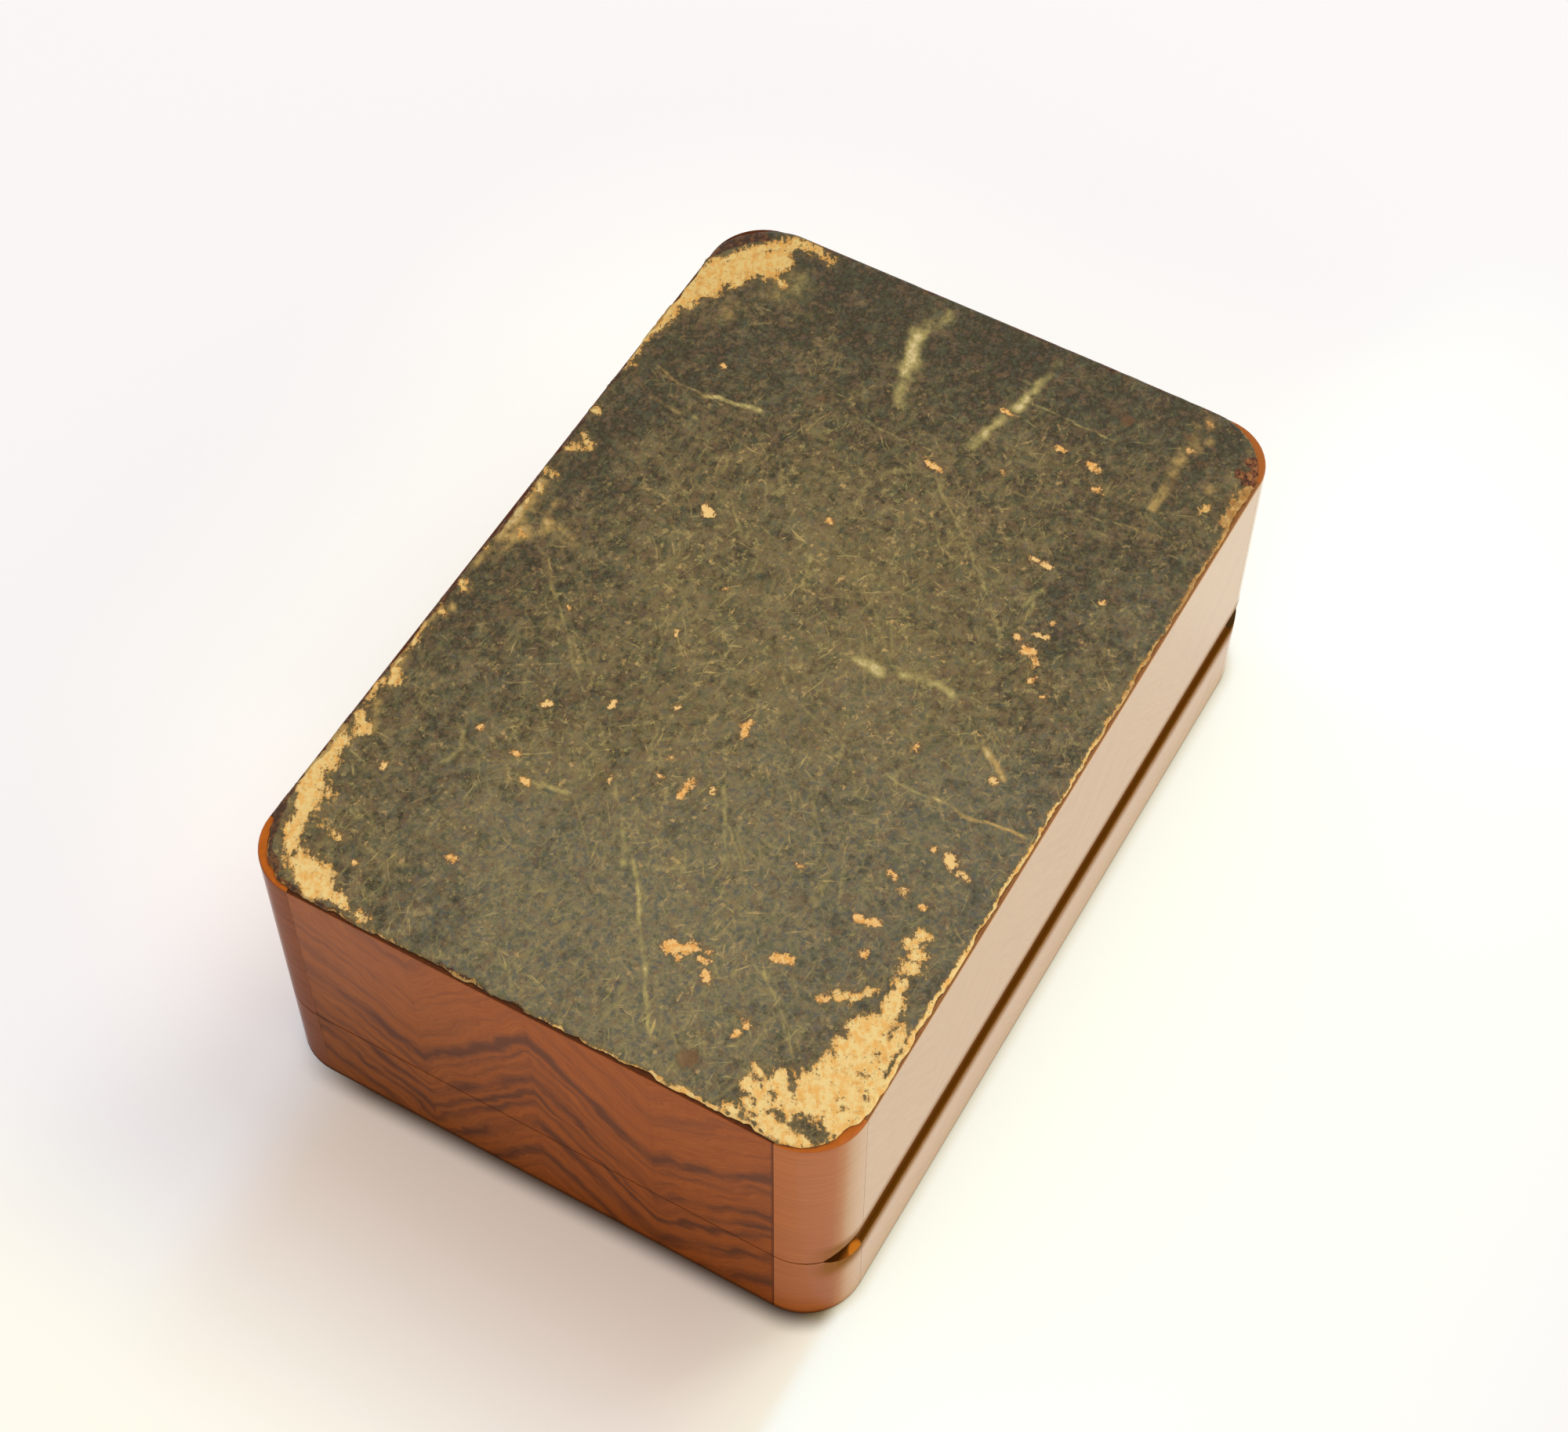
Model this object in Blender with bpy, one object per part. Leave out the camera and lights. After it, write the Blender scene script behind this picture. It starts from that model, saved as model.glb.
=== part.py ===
"""A small veneered box with a hinged lid, lying upside down, closed, on its lid.

Metres, +Z up. X runs along the box, its front is at -Y and its hinged back at +Y.
The origin is on the table under the middle of the box. The case lies above the lid
and swings up about the hinges. Everything on the case hangs on an empty on that axis.
"""

import math

import bmesh
import bpy
from mathutils import Matrix, Vector

# Outside sizes of the closed box
LENGTH = 0.102
DEPTH = 0.0692
LID_HEIGHT = 0.0125
CASE_HEIGHT = 0.0259
KERF = 0.0001
CORNER_RADIUS = 0.0066

# Thicknesses of what the box is built from
WALL = 0.0045
BOARD = 0.003
VENEER = 0.001
FACE_VENEER = 0.001
COVER = 0.0004
GLUE_LINE = 0.00005

# Outer edges, softened by polishing and wear, and the sharper edges along the kerf
ARRIS = 0.0003
RIM_ARRIS = 0.0001

# Leather paper on the base: it stops short of the rounded corners
COVER_INSET = 0.0002
COVER_CORNER_RADIUS = 0.0085

# Groove along the back, where both rims are bevelled so that the box can open
GROOVE_DEPTH = 0.002
GROOVE_RISE = 0.002

# Marquetry on the lid's face
CROSSBAND_WIDTH = 0.008
STRINGING_WIDTH = 0.001
LOZENGE_LENGTH = 0.02
LOZENGE_WIDTH = 0.0125

# Linings
WALL_LINING = 0.0006
FLOOR_LINING = 0.001
LINING_SETBACK = 0.0008
LINING_FIT = 0.00015

# Hinges
HINGE_LENGTH = 0.016
HINGE_FROM_END = 0.025
HINGE_OUTSET = 0.0005
BARREL_RADIUS = 0.00095
BARREL_CLEARANCE = 0.00015
PIN_RADIUS = 0.0005
PIN_CLEARANCE = 0.00005
LEAF_THICKNESS = 0.0005
LEAF_WIDTH = 0.0024
LEAF_FIT = 0.00005
KNUCKLE_GAP = 0.0001
KNUCKLE_SHOULDER = 0.00005
KNUCKLE_SHARES = (0.3, 0.4, 0.3)

# Hinge screws
SCREW_SPREAD = 0.01
SCREW_LENGTH = 0.0045
SCREW_POINT = 0.0008
SCREW_RADIUS = 0.00045
HEAD_RADIUS = 0.0009
HEAD_HEIGHT = 0.00042
HEAD_LAND = 0.00005
HEAD_SINK = 0.00003
SCREW_CLEARANCE = 0.00006
SLOT_WIDTH = 0.00025
SLOT_DEPTH = 0.0002

# How far a cutter reaches past what it cuts
OVERRUN = 0.0006

# Facets
CORNER_STEPS = 12
ARRIS_STEPS = 3
BARREL_STEPS = 20
SCREW_STEPS = 16
SMOOTH_BELOW = math.radians(35)

# Heights that follow from the sizes above
LID_RIM = LID_HEIGHT
CASE_RIM = LID_RIM + KERF
TOP = CASE_RIM + CASE_HEIGHT
LID_BOARD_LOW = FACE_VENEER + GLUE_LINE
LID_BOARD_HIGH = LID_BOARD_LOW + BOARD
CASE_BOARD_HIGH = TOP - COVER - GLUE_LINE
CASE_BOARD_LOW = CASE_BOARD_HIGH - BOARD

# The carcass inside the veneer
CARCASS_INSET = VENEER + GLUE_LINE
CARCASS_LENGTH = LENGTH - 2 * CARCASS_INSET
CARCASS_DEPTH = DEPTH - 2 * CARCASS_INSET
CARCASS_RADIUS = CORNER_RADIUS - CARCASS_INSET
INSIDE_LENGTH = CARCASS_LENGTH - 2 * WALL
INSIDE_DEPTH = CARCASS_DEPTH - 2 * WALL

# The bottom of the groove, the hinge axis and the leaves
GROOVE_Y = DEPTH / 2 - GROOVE_DEPTH
AXIS_Y = GROOVE_Y + HINGE_OUTSET
AXIS_Z = LID_RIM + KERF / 2
LEAF_EDGE_Y = AXIS_Y - BARREL_RADIUS - BARREL_CLEARANCE
LEAF_BACK_Y = LEAF_EDGE_Y - LEAF_WIDTH
SCREW_Y = LEAF_EDGE_Y - LEAF_WIDTH / 2

# Each side: its turn about Z, which faces the front first, and its two sizes
SIDES = {
    "front": (0, LENGTH, DEPTH),
    "right": (math.pi / 2, DEPTH, LENGTH),
    "back": (math.pi, LENGTH, DEPTH),
    "left": (-math.pi / 2, DEPTH, LENGTH),
}

# Each corner: where it lies along X and Y, and its turn about Z
CORNERS = {
    "back_right": (1, 1, 0),
    "back_left": (-1, 1, math.pi / 2),
    "front_left": (-1, -1, math.pi),
    "front_right": (1, -1, -math.pi / 2),
}

# Colour, roughness and metallic value of each material
MATERIALS = {
    "rosewood_veneer": ((0.24, 0.062, 0.022), 0.25, 0),
    "corner_veneer": ((0.33, 0.105, 0.038), 0.25, 0),
    "carcass_wood": ((0.3, 0.13, 0.05), 0.6, 0),
    "green_leather_paper": ((0.035, 0.042, 0.03), 0.6, 0),
    "boxwood": ((0.62, 0.42, 0.18), 0.35, 0),
    "field_veneer": ((0.28, 0.08, 0.03), 0.25, 0),
    "velvet_lining": ((0.2, 0.012, 0.02), 0.9, 0),
    "hinge_brass": ((0.6, 0.42, 0.16), 0.35, 1),
}


def clear_scene():
    for obj in list(bpy.data.objects):
        bpy.data.objects.remove(obj, do_unlink=True)


def material(name):
    """The named material, made the first time that it is asked for."""
    found = bpy.data.materials.get(name)
    if found:
        return found
    colour, roughness, metallic = MATERIALS[name]
    made = bpy.data.materials.new(name)
    made.use_nodes = True
    shader = made.node_tree.nodes["Principled BSDF"]
    shader.inputs["Base Color"].default_value = (*colour, 1)
    shader.inputs["Roughness"].default_value = roughness
    shader.inputs["Metallic"].default_value = metallic
    return made


def empty(name, location=(0, 0, 0)):
    made = bpy.data.objects.new(name, None)
    made.location = location
    bpy.context.scene.collection.objects.link(made)
    return made


def placed(location=(0, 0, 0), turn=0):
    """Where a piece stands in the world."""
    return Matrix.Translation(location) @ Matrix.Rotation(turn, 4, "Z")


def piece(name, bm, material_name, body, place=None):
    """One sub-part, from its mesh, hung on the empty of the body it belongs to."""
    bmesh.ops.recalc_face_normals(bm, faces=bm.faces)
    mesh = bpy.data.meshes.new(name)
    bm.to_mesh(mesh)
    bm.free()
    mesh.shade_smooth()
    mesh.set_sharp_from_angle(angle=SMOOTH_BELOW)
    mesh.materials.append(material(material_name))
    made = bpy.data.objects.new(name, mesh)
    bpy.context.scene.collection.objects.link(made)
    made.parent = body
    made.matrix_basis = Matrix.Translation(-body.location) @ (place or placed())
    return made


def cutter(name, bm, place=None):
    """A shape that only cuts or extends others. It isn't part of the box."""
    bmesh.ops.recalc_face_normals(bm, faces=bm.faces)
    mesh = bpy.data.meshes.new(name)
    bm.to_mesh(mesh)
    bm.free()
    made = bpy.data.objects.new(name, mesh)
    bpy.context.scene.collection.objects.link(made)
    made.matrix_basis = place or placed()
    made.hide_render = True
    made.display_type = "WIRE"
    return made


def combine(target, other, operation):
    modifier = target.modifiers.new(f"{operation.lower()} {other.name}", "BOOLEAN")
    modifier.operation = operation
    modifier.object = other
    modifier.solver = "EXACT"


def prism(outline, low, high):
    """A plan outline raised from one height to another."""
    bm = bmesh.new()
    face = bm.faces.new([bm.verts.new((x, y, low)) for x, y in outline])
    raised = bmesh.ops.extrude_face_region(bm, geom=[face])
    moved = [part for part in raised["geom"] if isinstance(part, bmesh.types.BMVert)]
    bmesh.ops.translate(bm, verts=moved, vec=(0, 0, high - low))
    return bm


def rectangle(low, high):
    return [(low[0], low[1]), (high[0], low[1]), (high[0], high[1]), (low[0], high[1])]


def arc(centre, radius, start, end, steps):
    angles = [start + (end - start) * i / steps for i in range(steps + 1)]
    return [
        (centre[0] + radius * math.cos(a), centre[1] + radius * math.sin(a))
        for a in angles
    ]


def rounded_rectangle(length, depth, radius):
    """Plan outline, anticlockwise, with its middle at the origin."""
    outline = []
    for along, across, turn in CORNERS.values():
        centre = (along * (length / 2 - radius), across * (depth / 2 - radius))
        outline += arc(centre, radius, turn, turn + math.pi / 2, CORNER_STEPS)
    return outline


def mitred_outline(length, width, radius=0):
    """Plan of one side of a mitred frame. Its outer face is on y = 0, facing -Y."""
    half = length / 2 - GLUE_LINE / math.sqrt(2)
    right = [(half, 0)]
    if radius:
        centre = (half - radius, radius)
        right = arc(centre, radius, -math.pi / 2, -math.pi / 4, CORNER_STEPS // 2)
    left = [(-x, y) for x, y in reversed(right)]
    return left + right + [(half - width, width), (width - half, width)]


def edge_profile(low, high, low_arris, high_arris):
    """Section of a side veneer: distance out from its outer face, and height."""
    lower = arc((-low_arris, low + low_arris), low_arris, -math.pi / 2, 0, ARRIS_STEPS)
    upper = arc((-high_arris, high - high_arris), high_arris, 0, math.pi / 2, ARRIS_STEPS)
    return [(-VENEER, low)] + lower + upper + [(-VENEER, high)]


def straight_sweep(profile, length):
    """A section carried along X, with its outer face on y = 0, facing -Y."""
    bm = bmesh.new()
    face = bm.faces.new([bm.verts.new((-length / 2, -out, z)) for out, z in profile])
    swept = bmesh.ops.extrude_face_region(bm, geom=[face])
    moved = [part for part in swept["geom"] if isinstance(part, bmesh.types.BMVert)]
    bmesh.ops.translate(bm, verts=moved, vec=(length, 0, 0))
    return bm


def corner_sweep(profile, radius):
    """A section carried a quarter turn round Z, with its outer face at the radius."""
    bm = bmesh.new()
    face = bm.faces.new([bm.verts.new((radius + out, 0, z)) for out, z in profile])
    bmesh.ops.spin(
        bm,
        geom=[face],
        cent=(0, 0, 0),
        axis=(0, 0, 1),
        angle=math.pi / 2,
        steps=CORNER_STEPS,
    )
    return bm


def turned(profile, steps):
    """A closed turned shape about Z, from its radii and heights."""
    bm = bmesh.new()
    verts = [bm.verts.new((r, 0, z)) for r, z in profile]
    edges = [bm.edges.new(pair) for pair in zip(verts, verts[1:])]
    bmesh.ops.spin(
        bm,
        geom=verts + edges,
        cent=(0, 0, 0),
        axis=(0, 0, 1),
        angle=2 * math.pi,
        steps=steps,
        use_merge=True,
    )
    bmesh.ops.remove_doubles(bm, verts=bm.verts, dist=GLUE_LINE / 100)
    return bm


def rod(radius, low, high, steps):
    """A round bar along X, between two places on it."""
    bm = bmesh.new()
    bmesh.ops.create_cone(
        bm,
        cap_ends=True,
        segments=steps,
        radius1=radius,
        radius2=radius,
        depth=high - low,
        matrix=Matrix.Translation(((low + high) / 2, 0, 0))
        @ Matrix.Rotation(math.pi / 2, 4, "Y"),
    )
    return bm


def block(low, high):
    return prism(rectangle(low, high), low[2], high[2])


def bevel_rim(bm, place, rim, up):
    """Cuts the groove's bevel off a piece whose rim is at the back of the box.

    up is 1 for the case, whose bevel climbs from its rim, and -1 for the lid.
    """
    to_local = place.inverted()
    normal = to_local.to_3x3() @ Vector((0, GROOVE_RISE, -up * GROOVE_DEPTH))
    cut = bmesh.ops.bisect_plane(
        bm,
        geom=bm.verts[:] + bm.edges[:] + bm.faces[:],
        dist=GLUE_LINE / 100,
        plane_co=to_local @ Vector((0, GROOVE_Y, rim)),
        plane_no=normal.normalized(),
        clear_outer=True,
    )
    edges = [part for part in cut["geom_cut"] if isinstance(part, bmesh.types.BMEdge)]
    if edges:
        bmesh.ops.holes_fill(bm, edges=edges, sides=0)


def frame_walls(body_name, body, low, high, rim, up):
    """The four mitred walls of the lid or the case, by side."""
    walls = {}
    for side, (turn, length, depth) in SIDES.items():
        out = depth / 2 - CARCASS_INSET
        place = placed(Matrix.Rotation(turn, 3, "Z") @ Vector((0, -out, low)), turn)
        bm = prism(
            mitred_outline(length - 2 * CARCASS_INSET, WALL, CARCASS_RADIUS),
            0,
            high - low,
        )
        bevel_rim(bm, place, rim, up)
        name = f"{body_name}_{side}_wall"
        walls[side] = piece(name, bm, "carcass_wood", body, place)
    return walls


def side_veneers(body_name, body, profile, rim, up):
    """Straight veneers on the four sides, and curved ones on the corners."""
    for side, (turn, length, depth) in SIDES.items():
        bm = straight_sweep(profile, length - 2 * CORNER_RADIUS - 2 * GLUE_LINE)
        place = placed(Matrix.Rotation(turn, 3, "Z") @ Vector((0, -depth / 2, 0)), turn)
        bevel_rim(bm, place, rim, up)
        piece(f"{body_name}_veneer_{side}", bm, "rosewood_veneer", body, place)
    for corner, (along, across, turn) in CORNERS.items():
        bm = corner_sweep(profile, CORNER_RADIUS)
        centre = (
            along * (LENGTH / 2 - CORNER_RADIUS),
            across * (DEPTH / 2 - CORNER_RADIUS),
            0,
        )
        place = placed(centre, turn)
        bevel_rim(bm, place, rim, up)
        piece(f"{body_name}_corner_veneer_{corner}", bm, "corner_veneer", body, place)


def carcass_board(name, body, low, high):
    bm = prism(
        rounded_rectangle(CARCASS_LENGTH, CARCASS_DEPTH, CARCASS_RADIUS), low, high
    )
    return piece(name, bm, "carcass_wood", body)


def lid_marquetry(body):
    """The lid's face: a mitred crossband, a light line and four matched leaves."""
    for side, (turn, length, depth) in SIDES.items():
        rotation = Matrix.Rotation(turn, 3, "Z")
        inset = CARCASS_INSET
        band = mitred_outline(length - 2 * inset, CROSSBAND_WIDTH, CARCASS_RADIUS)
        place = placed(rotation @ Vector((0, inset - depth / 2, 0)), turn)
        bm = prism(band, 0, FACE_VENEER)
        piece(f"lid_crossband_{side}", bm, "rosewood_veneer", body, place)
        inset += CROSSBAND_WIDTH + GLUE_LINE
        line = mitred_outline(length - 2 * inset, STRINGING_WIDTH)
        place = placed(rotation @ Vector((0, inset - depth / 2, 0)), turn)
        bm = prism(line, 0, FACE_VENEER)
        piece(f"lid_stringing_{side}", bm, "boxwood", body, place)
    border = CARCASS_INSET + CROSSBAND_WIDTH + STRINGING_WIDTH + 2 * GLUE_LINE
    half_length = LENGTH / 2 - border
    half_depth = DEPTH / 2 - border
    reach_x = LOZENGE_LENGTH / 2
    reach_y = LOZENGE_WIDTH / 2
    joint = GLUE_LINE / 2
    past = 1 + GLUE_LINE * math.hypot(1 / reach_x, 1 / reach_y)
    leaf = [
        (reach_x * (past - joint / reach_y), joint),
        (half_length, joint),
        (half_length, half_depth),
        (joint, half_depth),
        (joint, reach_y * (past - joint / reach_x)),
    ]
    for corner, (along, across, _) in CORNERS.items():
        outline = [(along * x, across * y) for x, y in leaf]
        bm = prism(outline, 0, FACE_VENEER)
        piece(f"lid_leaf_{corner}", bm, "field_veneer", body)
    lozenge = [(reach_x, 0), (0, reach_y), (-reach_x, 0), (0, -reach_y)]
    piece("lid_lozenge", prism(lozenge, 0, FACE_VENEER), "boxwood", body)


def lining_strip(name, body, low, high):
    """One strip pasted round the inside of the walls."""
    half_length = INSIDE_LENGTH / 2 - LINING_FIT
    half_depth = INSIDE_DEPTH / 2 - LINING_FIT
    bm = bmesh.new()
    loops = []
    for inset, z in ((0, low), (0, high), (WALL_LINING, high), (WALL_LINING, low)):
        corner = Vector((half_length - inset, half_depth - inset))
        loops.append([bm.verts.new((x, y, z)) for x, y in rectangle(-corner, corner)])
    for first, second in zip(loops, loops[1:] + loops[:1]):
        for i in range(4):
            j = (i + 1) % 4
            bm.faces.new((first[i], first[j], second[j], second[i]))
    return piece(name, bm, "velvet_lining", body)


def lining_panel(name, body, low, high):
    """The covered card that lies inside the lining strip."""
    inset = WALL_LINING + 2 * LINING_FIT
    corner = Vector((INSIDE_LENGTH / 2 - inset, INSIDE_DEPTH / 2 - inset))
    return piece(name, prism(rectangle(-corner, corner), low, high), "velvet_lining", body)


def base_cover(body):
    outline = rounded_rectangle(
        LENGTH - 2 * COVER_INSET, DEPTH - 2 * COVER_INSET, COVER_CORNER_RADIUS
    )
    piece("case_base_cover", prism(outline, TOP - COVER, TOP), "green_leather_paper", body)


def knuckle_spans():
    """Where each knuckle lies along a hinge, from its middle."""
    spans = []
    start = -HINGE_LENGTH / 2
    for share in KNUCKLE_SHARES:
        end = start + share * HINGE_LENGTH
        spans.append((start + KNUCKLE_GAP / 2, end - KNUCKLE_GAP / 2))
        start = end
    return spans


def leaf_outline(spans):
    """Plan of a hinge leaf, with a neck out to each of its own knuckles."""
    half = HINGE_LENGTH / 2
    outline = [(-half, LEAF_BACK_Y), (half, LEAF_BACK_Y), (half, LEAF_EDGE_Y)]
    for low, high in reversed(spans):
        low += KNUCKLE_SHOULDER
        high -= KNUCKLE_SHOULDER
        outline += [(high, LEAF_EDGE_Y), (high, AXIS_Y), (low, AXIS_Y), (low, LEAF_EDGE_Y)]
    return outline + [(-half, LEAF_EDGE_Y)]


def screw_places(x, rim, up):
    """The two screws of a leaf, whose heads face the kerf."""
    turn_over = Matrix.Rotation(math.pi if up > 0 else 0, 4, "X")
    return [
        Matrix.Translation((x + side * SCREW_SPREAD / 2, SCREW_Y, rim)) @ turn_over
        for side in (-1, 1)
    ]


def screw_mesh(grow, above):
    """A countersunk screw pointing down from the rim, or the hole for one."""
    top = -HEAD_SINK
    head = HEAD_RADIUS + grow
    shank = SCREW_RADIUS + grow
    cone = top - HEAD_LAND - HEAD_HEIGHT
    end = top - SCREW_LENGTH - grow
    profile = [(0, top + above)]
    profile += [(head, top + above), (head, top - HEAD_LAND), (shank, cone)]
    profile += [(shank, end + SCREW_POINT), (0, end)]
    return turned(profile, SCREW_STEPS)


def hinge_leaf(name, body, x, spans, rim, up):
    """One leaf with its knuckles, let into the rim of a back wall."""
    thick = sorted((rim, rim + up * LEAF_THICKNESS))
    bm = prism(leaf_outline(spans), *thick)
    place = placed((x, 0, 0))
    made = piece(name, bm, "hinge_brass", body, place)
    axis = placed((x, AXIS_Y, AXIS_Z))
    for i, (low, high) in enumerate(spans):
        barrel = rod(BARREL_RADIUS, low, high, BARREL_STEPS)
        combine(made, cutter(f"{name}_knuckle_{i}", barrel, axis), "UNION")
    half = HINGE_LENGTH / 2 + OVERRUN
    bore = rod(PIN_RADIUS + PIN_CLEARANCE, -half, half, BARREL_STEPS)
    combine(made, cutter(f"{name}_bore", bore, axis), "DIFFERENCE")
    return made


def hinge_seat(wall, name, x, rim, up):
    """The recess for a leaf and the hollow for the barrel, cut into a back wall."""
    half = HINGE_LENGTH / 2 + LEAF_FIT
    heights = sorted((rim - up * OVERRUN, rim + up * (LEAF_THICKNESS + LEAF_FIT)))
    recess = block(
        (x - half, LEAF_BACK_Y - LEAF_FIT, heights[0]), (x + half, AXIS_Y, heights[1])
    )
    combine(wall, cutter(f"{name}_recess", recess), "DIFFERENCE")
    half += BARREL_CLEARANCE
    hollow = rod(BARREL_RADIUS + BARREL_CLEARANCE, -half, half, BARREL_STEPS)
    place = placed((x, AXIS_Y, AXIS_Z))
    combine(wall, cutter(f"{name}_hollow", hollow, place), "DIFFERENCE")


def leaf_screws(name, body, leaf, wall, x, rim, up):
    """The screws of a leaf, with their countersinks and their holes in the wall."""
    for i, place in enumerate(screw_places(x, rim, up), 1):
        hole = cutter(f"{name}_hole_{i}", screw_mesh(SCREW_CLEARANCE, OVERRUN), place)
        combine(leaf, hole, "DIFFERENCE")
        combine(wall, hole, "DIFFERENCE")
        made = piece(f"{name}_screw_{i}", screw_mesh(0, 0), "hinge_brass", body, place)
        reach = HEAD_RADIUS + OVERRUN
        slot = block(
            (-reach, -SLOT_WIDTH / 2, -HEAD_SINK - SLOT_DEPTH),
            (reach, SLOT_WIDTH / 2, OVERRUN),
        )
        combine(made, cutter(f"{name}_slot_{i}", slot, place), "DIFFERENCE")


def hinge(name, x, bodies, walls):
    """A butt hinge: two knuckles and the pin on the lid, one knuckle on the case."""
    spans = knuckle_spans()
    for body_name, own, rim, up in (
        ("lid", spans[::2], LID_RIM, -1),
        ("case", spans[1::2], CASE_RIM, 1),
    ):
        body = bodies[body_name]
        wall = walls[body_name]["back"]
        leaf_name = f"{name}_{body_name}"
        leaf = hinge_leaf(f"{leaf_name}_leaf", body, x, own, rim, up)
        hinge_seat(wall, leaf_name, x, rim, up)
        leaf_screws(leaf_name, body, leaf, wall, x, rim, up)
    pin = rod(PIN_RADIUS, spans[0][0], spans[-1][1], BARREL_STEPS)
    place = placed((x, AXIS_Y, AXIS_Z))
    piece(f"{name}_pin", pin, "hinge_brass", bodies["lid"], place)


def build():
    clear_scene()
    bodies = {"lid": empty("lid"), "case": empty("case", (0, AXIS_Y, AXIS_Z))}
    lid, case = bodies["lid"], bodies["case"]
    walls = {
        "lid": frame_walls("lid", lid, LID_BOARD_HIGH + GLUE_LINE, LID_RIM, LID_RIM, -1),
        "case": frame_walls("case", case, CASE_RIM, CASE_BOARD_LOW - GLUE_LINE, CASE_RIM, 1),
    }
    carcass_board("lid_board", lid, LID_BOARD_LOW, LID_BOARD_HIGH)
    carcass_board("case_base_board", case, CASE_BOARD_LOW, CASE_BOARD_HIGH)
    side_veneers("lid", lid, edge_profile(0, LID_RIM, ARRIS, RIM_ARRIS), LID_RIM, -1)
    profile = edge_profile(CASE_RIM, CASE_BOARD_HIGH, RIM_ARRIS, ARRIS)
    side_veneers("case", case, profile, CASE_RIM, 1)
    lid_marquetry(lid)
    base_cover(case)
    lid_floor = LID_BOARD_HIGH + GLUE_LINE
    case_floor = CASE_BOARD_LOW - GLUE_LINE
    lining_strip("lid_wall_lining", lid, lid_floor, LID_RIM - LINING_SETBACK)
    lining_panel("lid_panel_lining", lid, lid_floor, lid_floor + FLOOR_LINING)
    lining_strip("case_wall_lining", case, CASE_RIM + LINING_SETBACK, case_floor)
    lining_panel("case_floor_lining", case, case_floor - FLOOR_LINING, case_floor)
    for name, along in (("left_hinge", -1), ("right_hinge", 1)):
        hinge(name, along * (LENGTH / 2 - HINGE_FROM_END), bodies, walls)


build()
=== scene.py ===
import math

import bmesh
import bpy
import numpy as np
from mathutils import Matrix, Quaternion, Vector

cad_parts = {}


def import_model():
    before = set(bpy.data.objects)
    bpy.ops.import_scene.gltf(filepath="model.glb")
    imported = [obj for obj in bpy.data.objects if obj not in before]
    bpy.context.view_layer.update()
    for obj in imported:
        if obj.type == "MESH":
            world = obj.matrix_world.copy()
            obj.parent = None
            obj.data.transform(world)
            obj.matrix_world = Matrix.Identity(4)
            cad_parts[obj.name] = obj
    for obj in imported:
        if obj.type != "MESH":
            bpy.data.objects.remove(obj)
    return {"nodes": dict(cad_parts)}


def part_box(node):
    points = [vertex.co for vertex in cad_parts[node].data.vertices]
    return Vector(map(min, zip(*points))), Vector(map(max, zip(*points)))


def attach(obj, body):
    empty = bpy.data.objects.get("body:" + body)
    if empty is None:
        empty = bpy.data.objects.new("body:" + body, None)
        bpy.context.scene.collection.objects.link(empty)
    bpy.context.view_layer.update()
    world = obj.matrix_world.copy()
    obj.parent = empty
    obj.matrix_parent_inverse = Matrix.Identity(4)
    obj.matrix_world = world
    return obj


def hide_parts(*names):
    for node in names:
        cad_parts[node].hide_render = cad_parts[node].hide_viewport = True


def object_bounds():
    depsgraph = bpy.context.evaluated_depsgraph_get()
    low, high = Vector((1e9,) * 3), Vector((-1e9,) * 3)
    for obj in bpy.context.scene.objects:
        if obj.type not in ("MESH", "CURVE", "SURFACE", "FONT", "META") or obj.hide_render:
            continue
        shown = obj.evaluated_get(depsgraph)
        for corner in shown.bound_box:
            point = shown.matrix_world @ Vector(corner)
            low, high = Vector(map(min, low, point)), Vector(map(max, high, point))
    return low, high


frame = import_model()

CAD_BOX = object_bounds()
MM = 1000.0

# Camera: where it stands, which way it looks, how it leans, and its lens
CAMERA_PLACE = (0.16378, 0.09323, 0.30226)
CAMERA_LOOK = (-0.48799, -0.27751, -0.82756)
CAMERA_LEAN = math.radians(0.085)
CAMERA_LENS = 70.847
CAMERA_SENSOR = 36.0

# Floor and lights
FLOOR_HALF = 3.0
FLOOR_LOW = -0.00002
KEY_FROM = (-0.43, 0.255, 0.866)
KEY_DISTANCE = 1.6
KEY_WIDE = 0.34
KEY_HIGH = 1.05
KEY_POWER = 5.4
KEY_COLOUR = (0.84, 0.95, 1.0)
WORLD_SIDE = (0.2, 0.8, 0.57)
WORLD_COOL_SIDE = (-0.6, -0.8, 0.0)
WORLD_WARM = (1.0, 0.85, 0.70)
WORLD_COOL = (1.0, 0.91, 0.89)
WORLD_EVEN = 0.615
WORLD_SIDE_LIGHT = 0.26
WORLD_SEEN = (1.0, 1.0, 0.99)
WORLD_SEEN_LEVEL = 0.97
FLOOR_LIFT = 0.15

# What the sheet shows beside the box, in millimetres: painted shadow in front of the short
# end, at the box's foot and beside the hinged side, and painted light, an emission lift,
# beside the hinged side and in the box's shade around it. A pair is where a tint fades in
# or out along X or Y.
SHEET = (0.93, 0.93, 0.93)
SHEET_FRONT_SHADOW = (0.88, 0.825, 0.755)
SHEET_CONTACT_SHADOW = (0.14, 0.10, 0.075)
SHEET_HINGED_SHADE = (0.78, 0.66, 0.22)
END_FROM_Y = (-34.0, -22.0)
END_TO_Y = (32.5, 35.0)
END_X = (44.0, 50.0)
FRONT_X = (60.0, 96.0)
HINGED_Y = (30.0, 34.0)
GLEAM_Y = (20.0, 45.0)
FAR_Y = (28.0, 40.0)
FAR_X = (46.0, 56.0)
FAR_TO_X = (10.0, 50.0)
BELOW_X = (66.0, 96.0)
BELOW_TO_X = (180.0, 300.0)
BELOW_TO_Y = (0.0, 60.0)
CONTACT_REACH = 2.7
GLEAM_REACH = 90.0
GLEAM = 0.21
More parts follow.
